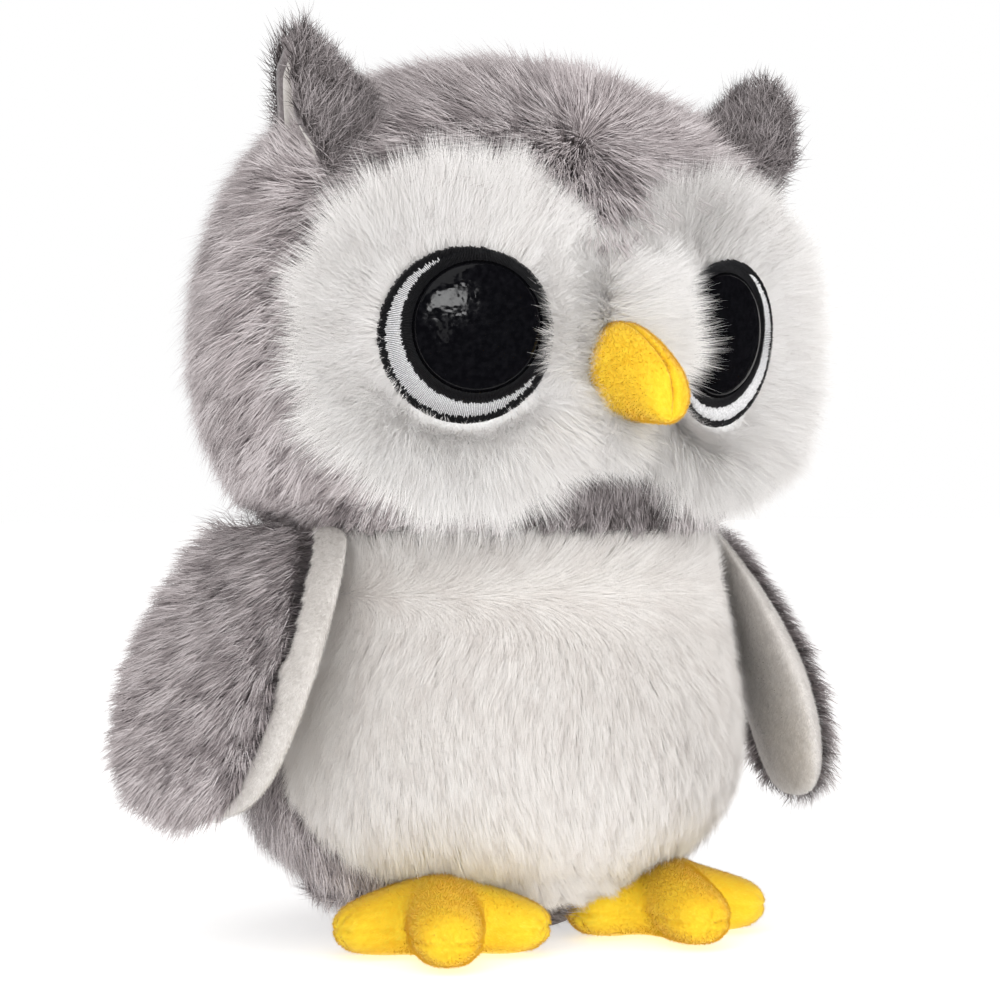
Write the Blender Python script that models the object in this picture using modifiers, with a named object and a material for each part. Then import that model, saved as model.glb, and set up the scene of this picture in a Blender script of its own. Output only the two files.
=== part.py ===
"""Plush owl: a stuffed toy sewn from long-pile panels, with wings, feet, ears and a beak.

Lengths are metres and +Z is up. The owl faces -Y, so its right side is at -X. The
origin is the middle of the flat base panel, on the surface that the owl sits on.
"""

import math

import bmesh
import bpy
from mathutils import Matrix, Quaternion, Vector

# Fabrics and the clearance between neighbouring pieces
SEW_GAP = 0.0004
PLUSH_COVER = 0.006
VELBOA_COVER = 0.0016
CUT_OVERRUN = 0.01

# Body
BODY_WIDTH = 0.136
BODY_DEPTH = 0.125
BODY_WIDEST_HEIGHT = 0.047
BASE_WIDTH = 0.050
BASE_BACK = 0.011
BASE_PANEL_THICKNESS = 0.002
BELLY_PANEL_HEIGHT = 0.130
BELLY_PANEL_MIDDLE_HEIGHT = 0.064
BELLY_SEAM_FORWARD = 0.005
PELLET_BAG_WIDTH = 0.056
PELLET_BAG_HEIGHT = 0.026
PELLET_BAG_FOOT_WIDTH = 0.026

# Head
NECK_HEIGHT = 0.106
NECK_NARROWING = 0.018
NECK_WIDTH = BODY_WIDTH - NECK_NARROWING
NECK_DEPTH = 0.100
HEAD_NECK_FULLNESS = 0.002
HEAD_NECK_WIDTH = NECK_WIDTH + HEAD_NECK_FULLNESS
HEAD_WIDTH = 0.170
HEAD_DEPTH = 0.124
HEAD_WIDEST_HEIGHT = 0.157
HEAD_TOP_HEIGHT = 0.2295

# Face mask: two discs that meet over the beak
MASK_DISC_WIDTH = 0.093
MASK_DISC_TALL = 0.089
MASK_DISC_HEIGHT = 0.155
MASK_DISC_TURN_DEG = 26.0
CHEEK_WIDTH = 0.094
CHEEK_RISE = 0.0045

# Eyes: domed layers that share one centre of curvature
EYE_WIDTH = 0.0428
EYE_HEIGHT = 0.154
EYE_TURN_DEG = 27.5
EYE_TIP_DOWN_DEG = 8.0
EYE_SINK = 0.0060
EYE_DOME_RADIUS = 0.090
EYE_PATCH_THICKNESS = 0.0012
CRESCENT_WIDTH = 0.0404
CRESCENT_THICKNESS = 0.0006
CRESCENT_BITE_WIDTH = 0.0376
PUPIL_WIDTH = 0.0324
PUPIL_THICKNESS = 0.0011
PUPIL_SHIFT = 0.0034
PUPIL_SHIFT_UP_DEG = 41.0

# Beak
BEAK_ROOT_HEIGHT = 0.1465
BEAK_ROOT_TALL = 0.0262
BEAK_ROOT_WIDTH = 0.0175
BEAK_LENGTH = 0.0265
BEAK_TIP_DROP = 0.0085

# Ears: cupped leaves that open to the side
EAR_WIDTH = 0.062
EAR_LENGTH = 0.0275
EAR_ROOT_SUNK = 0.009
EAR_FOLD_DEPTH = 0.040
EAR_FOLD_WIDTH = 0.028
EAR_LINING_THICKNESS = 0.002
EAR_THICKNESS = 0.0055
EAR_AROUND_DEG = 68.0
EAR_ROOT_BELOW_TOP = 0.0235
EAR_ROOT_PROUD = 0.0085
EAR_TURN_DEG = 4.0
EAR_LEAN_DEG = 10.0

# Wings: padded flaps hinged along the shoulder seam
WING_LENGTH = 0.0785
WING_CHORD = 0.062
WING_THICKNESS = 0.014
WING_BOW = 0.004
WING_LINING_THICKNESS = 0.0025
WING_FRONT_WRAP = 0.004
WING_HINGE_HEIGHT = 0.1035
WING_HINGE_BACK = 0.001
WING_ROOT_SEAT = 0.0012
WING_FLARE_DEG = 26.0
WING_YAW_DEG = 17.0
WING_INWARD_TRAVEL_DEG = 10.0
WING_TRAVEL_MARGIN_DEG = 1.0

# Feet: three stuffed toes on a pad
FOOT_OFF_MIDDLE = 0.032
FOOT_PAD_FORWARD = 0.026
FOOT_HEIGHT = 0.0200
TOE_WIDTH = 0.0195
TOE_REACH = 0.039
SIDE_TOE_REACH = 0.028
TOE_SPREAD_DEG = 62.0
SIDE_TOE_RISE = 0.0012
FOOT_TURN_DEG = 6.5
FEET_SWING_DEG = -17.5
FOOT_SEAM_HEIGHT = 0.0080
FLOOR_FLAT = 0.0005

# Facets
ROUND_STEPS = 28
FILLING_STEPS = ROUND_STEPS // 2
PROFILE_STEPS = 6
FILLING_PROFILE_STEPS = 4
DOME_RINGS = 2
EAR_COLUMNS = 6
LIMB_CORNERS = 8
FILLING_CORNERS = 6
SEAM_SHARP_DEG = 40.0
MERGE_DISTANCE = 0.00001

# Shares of the sizes above
HEAD_TOP_SQUARE_SHARE = 2.2
HEAD_LOW_SQUARE_SHARE = 2.6
BODY_SQUARE_SHARE = 2.1
# Wing stations: place along the length, chord, thickness, outward bow
WING_SHARES = (
    (-0.03, 0.68, 0.34, 0.0),
    (0.06, 0.80, 0.46, 0.2),
    (0.25, 0.96, 0.78, 0.7),
    (0.55, 1.06, 1.06, 1.0),
    (0.84, 0.94, 1.00, 0.3),
    (1.02, 0.56, 0.62, -0.7),
)
# Toe stations: place along the reach, width, height
TOE_SHARES = ((-0.20, 0.94, 1.04), (0.40, 1.00, 1.06), (0.84, 1.02, 0.94), (1.06, 0.50, 0.48))
SIDE_TOE_TALL_SHARE = 0.86
# Beak stations: place along the length, width, height, drop
BEAK_SHARES = (
    (-0.45, 1.00, 1.00, 0.00),
    (0.15, 1.00, 0.98, 0.05),
    (0.55, 0.88, 0.76, 0.42),
    (0.95, 0.70, 0.52, 1.00),
)
# Ear outline: height along the leaf, half width round the fold, size of the fold
EAR_OUTLINE_SHARES = ((0.0, 0.78, 1.00), (0.42, 1.00, 1.00), (0.80, 0.98, 0.84), (1.0, 0.84, 0.56))
# How much lower the leaf's top is at the fold than at its open edges
EAR_SLOPE_SHARE = 0.42


def clear_scene():
    """Remove what the startup scene holds."""
    for obj in list(bpy.data.objects):
        bpy.data.objects.remove(obj)


def new_collection(name):
    made = bpy.data.collections.new(name)
    bpy.context.scene.collection.children.link(made)
    return made


def fabric(name, colour, roughness):
    """A plain Principled material for one cloth or thread."""
    made = bpy.data.materials.new(name)
    made.use_nodes = True
    shader = made.node_tree.nodes["Principled BSDF"]
    shader.inputs["Base Color"].default_value = (*colour, 1.0)
    shader.inputs["Roughness"].default_value = roughness
    shader.inputs["Metallic"].default_value = 0.0
    made.diffuse_color = (*colour, 1.0)
    return made


def add_object(name, mesh, collection, material=None):
    made = bpy.data.objects.new(name, mesh)
    collection.objects.link(made)
    if material:
        mesh.materials.append(material)
    return made


def as_cutter(obj):
    obj.hide_render = True
    obj.display_type = "WIRE"
    return obj


def as_part(obj, name, cutters, parts, material):
    """A form built as a cutter that becomes a piece itself."""
    obj.name = name
    cutters.objects.unlink(obj)
    parts.objects.link(obj)
    obj.hide_render = False
    obj.display_type = "TEXTURED"
    obj.data.materials.append(material)


def boolean(obj, operation, other, solver="EXACT"):
    modifier = obj.modifiers.new(f"{operation.lower()} {other.name}", "BOOLEAN")
    modifier.operation = operation
    modifier.solver = solver
    modifier.object = other
    return modifier


def smooth(obj):
    """Shade a rounded piece smooth, keeping its seams sharp."""
    obj.data.shade_smooth()
    obj.data.set_sharp_from_angle(angle=math.radians(SEAM_SHARP_DEG))


# Turned forms

def rounded_run(wide, top, bottom, square, steps):
    """Points of a squared-off quarter oval, from the axis at the top out to its width."""
    points = []
    for i in range(steps + 1):
        turn = math.pi / 2 * i / steps
        out = math.sin(turn) ** (2 / square)
        down = math.cos(turn) ** (2 / square)
        points.append((wide * out, bottom + (top - bottom) * down))
    return points


def run_to_width(wide, end_wide, start, end, square, steps):
    """Points of the same curve that narrows from its width at start to end_wide at end."""
    part = (1 - (end_wide / wide) ** square) ** (1 / square)
    reach = (end - start) / part
    last = math.asin(part ** (square / 2))
    points = []
    for i in range(1, steps + 1):
        turn = last * i / steps
        along = math.sin(turn) ** (2 / square)
        points.append((wide * math.cos(turn) ** (2 / square), start + reach * along))
    return points


def head_outline(inset, steps):
    """The head's side from its top down to the neck seam, inset from the pile's surface."""
    wide = HEAD_WIDTH / 2 - inset
    neck = HEAD_NECK_WIDTH / 2 - inset
    floor = NECK_HEIGHT + SEW_GAP
    upper = rounded_run(wide, HEAD_TOP_HEIGHT - inset, HEAD_WIDEST_HEIGHT, HEAD_TOP_SQUARE_SHARE, steps)
    return upper + run_to_width(wide, neck, HEAD_WIDEST_HEIGHT, floor, HEAD_LOW_SQUARE_SHARE, steps)


def body_outline(inset, steps):
    """The body's side from the neck seam down to the base panel."""
    wide = BODY_WIDTH / 2 - inset
    neck = NECK_WIDTH / 2 - inset
    foot = BASE_WIDTH / 2 - inset
    floor = BASE_PANEL_THICKNESS + SEW_GAP
    upper = run_to_width(wide, neck, BODY_WIDEST_HEIGHT, NECK_HEIGHT, BODY_SQUARE_SHARE, steps)
    lower = run_to_width(wide, foot, BODY_WIDEST_HEIGHT, floor, BODY_SQUARE_SHARE, steps)
    return upper[::-1] + [(wide, BODY_WIDEST_HEIGHT)] + lower


def closed_down(outline):
    """The outline carried to the axis at its ends, so that it turns into a solid."""
    points = list(outline)
    if points[0][0] > 0:
        points.insert(0, (0.0, points[0][1]))
    points.append((0.0, points[-1][1]))
    return points


def turned(name, points, collection, steps, material=None, ring=False):
    """A profile turned about Z with the Screw modifier."""
    mesh = bpy.data.meshes.new(name)
    edges = [(i, i + 1) for i in range(len(points) - 1)]
    if ring:
        edges.append((len(points) - 1, 0))
    mesh.from_pydata([(x, 0.0, z) for x, z in points], edges, [])
    made = add_object(name, mesh, collection, material)
    screw = made.modifiers.new("turn", "SCREW")
    screw.axis = "Z"
    screw.angle = math.tau
    screw.steps = steps
    screw.render_steps = steps
    screw.use_merge_vertices = True
    screw.merge_threshold = MERGE_DISTANCE
    screw.use_smooth_shade = True
    return made


def depth_share(height):
    """The toy's depth over its width: an oval head on a rounder neck and body."""
    neck = NECK_DEPTH / NECK_WIDTH
    if height > NECK_HEIGHT:
        far = HEAD_DEPTH / HEAD_WIDTH
        part = (height - NECK_HEIGHT) / (HEAD_WIDEST_HEIGHT - NECK_HEIGHT)
    else:
        far = BODY_DEPTH / BODY_WIDTH
        part = (NECK_HEIGHT - height) / (NECK_HEIGHT - BODY_WIDEST_HEIGHT)
    return neck + (far - neck) * math.sin(math.pi / 2 * min(part, 1.0))


def oval(obj):
    """The turned form made a plain mesh, oval at each height, that sits back on its base."""
    graph = bpy.context.evaluated_depsgraph_get()
    mesh = bpy.data.meshes.new_from_object(obj.evaluated_get(graph))
    for vert in mesh.vertices:
        below_neck = max((NECK_HEIGHT - vert.co.z) / NECK_HEIGHT, 0.0)
        vert.co.y = vert.co.y * depth_share(vert.co.z) + BASE_BACK * below_neck**2
    obj.modifiers.clear()
    obj.data = mesh
    return obj


# Solid forms from a primitive or a coarse cage

def ball(name, collection, centre, half_sizes, segments=ROUND_STEPS):
    """An oval ball from the sphere primitive."""
    mesh = bpy.data.meshes.new(name)
    shape = bmesh.new()
    bmesh.ops.create_uvsphere(shape, u_segments=segments, v_segments=segments // 2, radius=1.0)
    bmesh.ops.scale(shape, vec=half_sizes, verts=shape.verts)
    shape.to_mesh(mesh)
    shape.free()
    made = add_object(name, mesh, collection)
    made.location = centre
    return made


def box(name, collection, low, high):
    """A box between two corners."""
    mesh = bpy.data.meshes.new(name)
    shape = bmesh.new()
    bmesh.ops.create_cube(shape, size=1.0)
    bmesh.ops.scale(shape, vec=high - low, verts=shape.verts)
    bmesh.ops.translate(shape, vec=(high + low) / 2, verts=shape.verts)
    shape.to_mesh(mesh)
    shape.free()
    return add_object(name, mesh, collection)


def stuffed_cage(name, collection, rings, across, thick, corners):
    """A limb that swells and tapers: rings of (centre, half across, half thick), subdivided."""
    mesh = bpy.data.meshes.new(name)
    shape = bmesh.new()
    loops = []
    drawn_in = (2 + math.cos(math.tau / corners)) / 3
    for centre, half_across, half_thick in rings:
        loop = []
        for i in range(corners):
            turn = math.tau * i / corners
            beside = across * half_across * math.cos(turn) + thick * half_thick * math.sin(turn)
            loop.append(shape.verts.new(centre + beside / drawn_in))
        loops.append(loop)
    for near, far in zip(loops, loops[1:]):
        for i in range(corners):
            after = (i + 1) % corners
            shape.faces.new((near[i], near[after], far[after], far[i]))
    shape.faces.new(loops[0])
    shape.faces.new(loops[-1])
    bmesh.ops.recalc_face_normals(shape, faces=shape.faces)
    shape.to_mesh(mesh)
    shape.free()
    made = add_object(name, mesh, collection)
    subdivision = made.modifiers.new("round", "SUBSURF")
    subdivision.levels = 1
    subdivision.render_levels = 1
    return made


# Places on the head

def head_place(turn_deg, height):
    """The point of the head's surface at this turn from the front, counted towards +X."""
    if height > HEAD_WIDEST_HEIGHT:
        reach = HEAD_TOP_HEIGHT - HEAD_WIDEST_HEIGHT
        square = HEAD_TOP_SQUARE_SHARE
    else:
        square = HEAD_LOW_SQUARE_SHARE
        narrowing = (1 - (HEAD_NECK_WIDTH / HEAD_WIDTH) ** square) ** (1 / square)
        reach = (HEAD_WIDEST_HEIGHT - NECK_HEIGHT) / narrowing
    part = min(abs(height - HEAD_WIDEST_HEIGHT) / reach, 1.0)
    wide = (1 - part**square) ** (1 / square)
    turn = math.radians(turn_deg)
    across = wide * HEAD_WIDTH / 2 * math.sin(turn)
    ahead = wide * HEAD_WIDTH / 2 * depth_share(height) * math.cos(turn)
    return Vector((across, -ahead, height))


def head_outward(turn_deg):
    """The level direction that faces out of the head at this turn."""
    turn = math.radians(turn_deg)
    return Vector((math.sin(turn) / HEAD_WIDTH, -math.cos(turn) / HEAD_DEPTH, 0.0)).normalized()


# Pieces of the head

def head_forms(cutters):
    """Solids that the head's pieces are cut with, one layer inside the next."""
    around = closed_down(head_outline(-SEW_GAP, PROFILE_STEPS))
    within = closed_down(head_outline(PLUSH_COVER, FILLING_PROFILE_STEPS))
    fitted = as_cutter(oval(turned("head_fitted", around, cutters, ROUND_STEPS)))
    hollow = as_cutter(oval(turned("head_hollow", within, cutters, FILLING_STEPS)))
    return fitted, hollow


def mask_cutter(name, cutters, grow):
    """Two joined balls centred on the face: they cut the mask's outline."""
    halves = []
    for side in (-1, 1):
        centre = head_place(side * MASK_DISC_TURN_DEG, MASK_DISC_HEIGHT)
        level = MASK_DISC_WIDTH / 2 + grow
        half_sizes = Vector((level, level, MASK_DISC_TALL / 2 + grow))
        halves.append(ball(f"{name}_{side}", cutters, centre, half_sizes))
    boolean(halves[0], "UNION", halves[1])
    for half in halves:
        as_cutter(half)
    return halves[0]


def cheeks(cutters, grow):
    """The two balls that swell the mask's discs out of the head's oval."""
    made = []
    radius = CHEEK_WIDTH / 2 + grow
    for side in (-1, 1):
        sunk = head_outward(side * MASK_DISC_TURN_DEG) * (radius - CHEEK_RISE - grow)
        middle = head_place(side * MASK_DISC_TURN_DEG, MASK_DISC_HEIGHT) - sunk
        name = f"cheek_{side}_{len(cutters.objects)}"
        made.append(as_cutter(ball(name, cutters, middle, Vector((radius, radius, radius)))))
    return made


def make_head(parts, cutters, cloths):
    """Grey hood, white mask and the filling that they close over."""
    fitted, hollow = head_forms(cutters)
    outer = head_outline(0.0, PROFILE_STEPS)
    inner = head_outline(PLUSH_COVER, FILLING_PROFILE_STEPS)
    cover = oval(turned("head_cover", outer + inner[::-1], parts, ROUND_STEPS, cloths["grey"]))
    boolean(cover, "DIFFERENCE", mask_cutter("mask_seam", cutters, SEW_GAP))

    mask = oval(turned("face_mask", closed_down(outer), parts, ROUND_STEPS, cloths["white"]))
    for cheek in cheeks(cutters, 0.0):
        boolean(mask, "UNION", cheek, "MANIFOLD")
    boolean(mask, "INTERSECT", mask_cutter("mask_disc", cutters, 0.0), "MANIFOLD")
    boolean(mask, "DIFFERENCE", hollow, "MANIFOLD")

    inside = closed_down(head_outline(PLUSH_COVER + SEW_GAP, FILLING_PROFILE_STEPS))
    filling = oval(turned("head_stuffing", inside, parts, FILLING_STEPS, cloths["fibre"]))
    for side in (-1, 1):
        recess_width = EYE_WIDTH / 2 + SEW_GAP
        recess_floor = -EYE_PATCH_THICKNESS - SEW_GAP
        recess = domed_layer(f"eye_recess_{side}", cutters, side, recess_width, recess_floor, CUT_OVERRUN)
        for obj in (mask, filling):
            boolean(obj, "DIFFERENCE", as_cutter(recess), "MANIFOLD")
    return fitted


# Eyes

def eye_centre_and_turn(side):
    """The centre of the eye's dome and the rotation that points local +Z out of the eye."""
    outward = head_outward(side * EYE_TURN_DEG)
    level = math.cos(math.radians(EYE_TIP_DOWN_DEG))
    axis = outward * level - Vector((0.0, 0.0, math.sin(math.radians(EYE_TIP_DOWN_DEG))))
    face = head_place(side * EYE_TURN_DEG, EYE_HEIGHT) + outward * (CHEEK_RISE - EYE_SINK)
    return face - axis * EYE_DOME_RADIUS, axis.to_track_quat("Z", "Y")


def pupil_tilt(side):
    """The pupil sits off the patch's middle, up and towards the beak."""
    up = math.radians(PUPIL_SHIFT_UP_DEG)
    lean = PUPIL_SHIFT / EYE_DOME_RADIUS
    off = Vector((-side * math.cos(up) * math.sin(lean), math.sin(up) * math.sin(lean), math.cos(lean)))
    return Vector((0.0, 0.0, 1.0)).rotation_difference(off)


def domed_layer(name, collection, side, radius, low, high, tilt=None, material=None):
    """A round layer of the eye between two domes, low and high over the patch's face."""
    outs = [radius * i / DOME_RINGS for i in range(DOME_RINGS + 1)]
    points = [(out, math.sqrt((EYE_DOME_RADIUS + high) ** 2 - out**2)) for out in outs]
    points += [(out, math.sqrt((EYE_DOME_RADIUS + low) ** 2 - out**2)) for out in reversed(outs)]
    made = turned(name, points, collection, ROUND_STEPS, material)
    centre, rotation = eye_centre_and_turn(side)
    made.location = centre
    made.rotation_mode = "QUATERNION"
    made.rotation_quaternion = rotation @ (tilt or Quaternion())
    return made


def make_eye(side, word, parts, cutters, cloths):
    """Embroidered patch, satin-stitch crescent and glossy pupil."""
    tilt = pupil_tilt(side)
    domed_layer(
        f"eye_patch_{word}", parts, side, EYE_WIDTH / 2, -EYE_PATCH_THICKNESS, 0.0, material=cloths["black"]
    )
    low = SEW_GAP
    high = low + CRESCENT_THICKNESS
    crescent = domed_layer(
        f"eye_crescent_{word}", parts, side, CRESCENT_WIDTH / 2, low, high, material=cloths["thread"]
    )
    bite = domed_layer(
        f"crescent_bite_{word}", cutters, side, CRESCENT_BITE_WIDTH / 2, -CUT_OVERRUN, CUT_OVERRUN, tilt
    )
    boolean(crescent, "DIFFERENCE", as_cutter(bite))
    domed_layer(
        f"pupil_{word}", parts, side, PUPIL_WIDTH / 2, low, low + PUPIL_THICKNESS, tilt, cloths["gloss"]
    )


# Beak

def beak_rings(inset):
    """Rings of the beak from inside the face out to its hooked tip."""
    root = head_place(0.0, BEAK_ROOT_HEIGHT)
    rings = []
    for along, wide, tall, drop in BEAK_SHARES:
        centre = root + Vector((0.0, -along * BEAK_LENGTH, -drop * BEAK_TIP_DROP))
        if along == BEAK_SHARES[-1][0]:
            centre.y += inset
        rings.append((centre, wide * BEAK_ROOT_WIDTH / 2 - inset, tall * BEAK_ROOT_TALL / 2 - inset))
    return rings


def make_beak(parts, cutters, cloths, head_fitted, cheek_cutters):
    """Short-pile cover and its filling, both ending at the face."""
    across = Vector((1.0, 0.0, 0.0))
    tall = Vector((0.0, 0.0, 1.0))
    wall = beak_rings(VELBOA_COVER)
    inside = beak_rings(VELBOA_COVER + SEW_GAP)
    hollow = as_cutter(stuffed_cage("beak_hollow", cutters, wall, across, tall, LIMB_CORNERS))
    cover = stuffed_cage("beak_cover", parts, beak_rings(0.0), across, tall, LIMB_CORNERS)
    cover.data.materials.append(cloths["yellow"])
    filling = stuffed_cage("beak_stuffing", parts, inside, across, tall, LIMB_CORNERS)
    filling.data.materials.append(cloths["fibre"])
    for obj in (cover, filling):
        boolean(obj, "DIFFERENCE", head_fitted)
        for cheek in cheek_cutters:
            boolean(obj, "DIFFERENCE", cheek)
    boolean(cover, "DIFFERENCE", hollow)


# Ears

def ear_leaf(name, collection, side, inset, thickness, material):
    """A folded leaf: a grid wrapped round an upright oval, open to the side, then thickened."""
    rows = len(EAR_OUTLINE_SHARES) - 1
    mesh = bpy.data.meshes.new(name)
    shape = bmesh.new()
    bmesh.ops.create_grid(shape, x_segments=EAR_COLUMNS, y_segments=rows, size=1.0)
    tall = EAR_LENGTH + EAR_ROOT_SUNK
    for vert in shape.verts:
        row = round((vert.co.y + 1) / 2 * rows)
        height, span, fold = EAR_OUTLINE_SHARES[row]
        deep = fold * EAR_FOLD_DEPTH / 2 - inset
        wide = fold * EAR_FOLD_WIDTH / 2 - inset
        turn = vert.co.x * span * EAR_WIDTH / (EAR_FOLD_DEPTH + EAR_FOLD_WIDTH) * 2
        slope = 1 - EAR_SLOPE_SHARE * height * max(math.cos(turn), 0.0)
        up = height * (tall - inset) * slope - EAR_ROOT_SUNK
        vert.co = Vector((-side * deep * math.cos(turn), wide * math.sin(turn), up))
    bmesh.ops.recalc_face_normals(shape, faces=shape.faces)
    shape.to_mesh(mesh)
    shape.free()
    made = add_object(name, mesh, collection, material)
    walls = made.modifiers.new("walls", "SOLIDIFY")
    walls.thickness = thickness
    walls.offset = 0.0
    rounding = made.modifiers.new("round", "SUBSURF")
    rounding.levels = 1
    rounding.render_levels = 1
    around = side * EAR_AROUND_DEG
    root = head_place(around, HEAD_TOP_HEIGHT - EAR_ROOT_BELOW_TOP)
    made.location = root + head_outward(around) * EAR_ROOT_PROUD
    made.rotation_euler = (0.0, side * math.radians(EAR_LEAN_DEG), side * math.radians(EAR_TURN_DEG))
    return made


def make_ear(side, word, parts, cloths, head_fitted):
    """Grey outer leaf and the lining inside its cup."""
    outer = ear_leaf(f"ear_outer_{word}", parts, side, 0.0, EAR_THICKNESS, cloths["grey"])
    inside = (EAR_THICKNESS + EAR_LINING_THICKNESS) / 2 + SEW_GAP
    lining = ear_leaf(f"ear_lining_{word}", parts, side, inside, EAR_LINING_THICKNESS, cloths["lining"])
    for obj in (outer, lining):
        boolean(obj, "DIFFERENCE", head_fitted)


# Body

def make_body(parts, cutters, cloths):
    """Grey back, white belly, flat base, filling and the weighted bag."""
    around = body_outline(-SEW_GAP, PROFILE_STEPS) + [(BASE_WIDTH / 2 + SEW_GAP, -CUT_OVERRUN)]
    fitted = as_cutter(oval(turned("body_fitted", closed_down(around), cutters, ROUND_STEPS)))
    ring = body_outline(0.0, PROFILE_STEPS) + body_outline(PLUSH_COVER, FILLING_PROFILE_STEPS)[::-1]
    for name, operation, grow, cloth in (
        ("body_back_panel", "DIFFERENCE", SEW_GAP, "grey"),
        ("belly_panel", "INTERSECT", 0.0, "white"),
    ):
        panel = oval(turned(name, ring, parts, ROUND_STEPS, cloths[cloth], ring=True))
        boolean(panel, operation, belly_cutter(f"cut_{name}", cutters, grow))

    edge = BASE_WIDTH / 2
    disc = [(0.0, BASE_PANEL_THICKNESS), (edge, BASE_PANEL_THICKNESS), (edge, 0.0), (0.0, 0.0)]
    oval(turned("base_panel", disc, parts, ROUND_STEPS, cloths["grey"]))

    inside = closed_down(body_outline(PLUSH_COVER + SEW_GAP, FILLING_PROFILE_STEPS))
    filling = oval(turned("body_stuffing", inside, parts, FILLING_STEPS, cloths["fibre"]))
    oval(turned("pellet_bag", bag_outline(0.0), parts, FILLING_STEPS, cloths["lining"]))
    pocket = oval(turned("pellet_pocket", bag_outline(SEW_GAP), cutters, FILLING_STEPS))
    boolean(filling, "DIFFERENCE", as_cutter(pocket))
    return fitted


def belly_cutter(name, cutters, grow):
    """A cylinder across the body whose round edge is the belly's seam."""
    radius = BELLY_PANEL_HEIGHT / 2 + grow
    mesh = bpy.data.meshes.new(name)
    shape = bmesh.new()
    bmesh.ops.create_cone(
        shape,
        cap_ends=True,
        segments=ROUND_STEPS,
        radius1=radius,
        radius2=radius,
        depth=BODY_WIDTH + CUT_OVERRUN,
        matrix=Matrix.Rotation(math.radians(90.0), 4, "Y"),
    )
    shape.to_mesh(mesh)
    shape.free()
    made = as_cutter(add_object(name, mesh, cutters))
    made.location = (0.0, -BELLY_SEAM_FORWARD - BELLY_PANEL_HEIGHT / 2, BELLY_PANEL_MIDDLE_HEIGHT)
    return made


def bag_outline(grow):
    """The weighted bag: an oval that sits on the base panel."""
    floor = BASE_PANEL_THICKNESS + SEW_GAP
    wide = PELLET_BAG_WIDTH / 2 + grow
    foot = PELLET_BAG_FOOT_WIDTH / 2 + grow
    top = floor + PELLET_BAG_HEIGHT + grow
    middle = floor + PELLET_BAG_HEIGHT / 2
    upper = rounded_run(wide, top, middle, BODY_SQUARE_SHARE, FILLING_PROFILE_STEPS)
    lower = run_to_width(wide, foot, middle, floor - grow, BODY_SQUARE_SHARE, FILLING_PROFILE_STEPS)
    return closed_down(upper + lower)


# Wings

def wing_hinge(side):
    """The middle of the shoulder seam, just clear of the body, and the wing's rotation."""
    narrowing = (1 - (NECK_WIDTH / BODY_WIDTH) ** BODY_SQUARE_SHARE) ** (1 / BODY_SQUARE_SHARE)
    reach = (NECK_HEIGHT - BODY_WIDEST_HEIGHT) / narrowing
    part = (WING_HINGE_HEIGHT - BODY_WIDEST_HEIGHT) / reach
    wide = (1 - part**BODY_SQUARE_SHARE) ** (1 / BODY_SQUARE_SHARE) * BODY_WIDTH / 2
    off = wide + WING_SHARES[0][2] * WING_THICKNESS / 2 + WING_ROOT_SEAT
    place = Vector((side * off, WING_HINGE_BACK, WING_HINGE_HEIGHT))
    yaw = Matrix.Rotation(-side * math.radians(WING_YAW_DEG), 3, "Z")
    flare = Matrix.Rotation(-side * math.radians(WING_FLARE_DEG), 3, "Y")
    return place, (yaw @ flare).to_quaternion()


def wing_rings(side, inset):
    """Rings of the wing, hanging down local -Z from the seam and bowed away from the body."""
    rings = []
    for along, chord, thick, bow in WING_SHARES:
        drop = along * WING_LENGTH
        if along == WING_SHARES[0][0]:
            drop += inset
        if along == WING_SHARES[-1][0]:
            drop -= inset
        centre = Vector((side * bow * WING_BOW, 0.0, -drop))
        half_thick = thick * WING_THICKNESS / 2 - inset / 2
        rings.append((centre, chord * WING_CHORD / 2 - inset, half_thick))
    return rings


def bow_share(along):
    """How far the wing is bowed outward at this share of its length."""
    for near, far in zip(WING_SHARES, WING_SHARES[1:]):
        if along <= far[0]:
            part = max((along - near[0]) / (far[0] - near[0]), 0.0)
            return near[3] + (far[3] - near[3]) * part
    return WING_SHARES[-1][3]


def lining_region(name, cutters, side, gap):
    """The space on the body's side of the wing's seam: a slab that follows the wing's bow."""
    low = Vector((-WING_THICKNESS, -WING_CHORD, -WING_LENGTH - CUT_OVERRUN))
    high = Vector((WING_THICKNESS, WING_CHORD, CUT_OVERRUN))
    slab = box(name, cutters, low, high)
    shape = bmesh.new()
    shape.from_mesh(slab.data)
    for station in WING_SHARES:
        bmesh.ops.bisect_plane(
            shape,
            geom=shape.verts[:] + shape.edges[:] + shape.faces[:],
            plane_co=(0.0, 0.0, -station[0] * WING_LENGTH),
            plane_no=(0.0, 0.0, 1.0),
        )
    for vert in shape.verts:
        wrap = vert.co.y / (WING_CHORD / 2) * WING_FRONT_WRAP
        bow = bow_share(-vert.co.z / WING_LENGTH) * WING_BOW
        vert.co.x += side * (bow - wrap - WING_THICKNESS - gap)
    shape.to_mesh(slab.data)
    shape.free()
    return as_cutter(slab)


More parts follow.
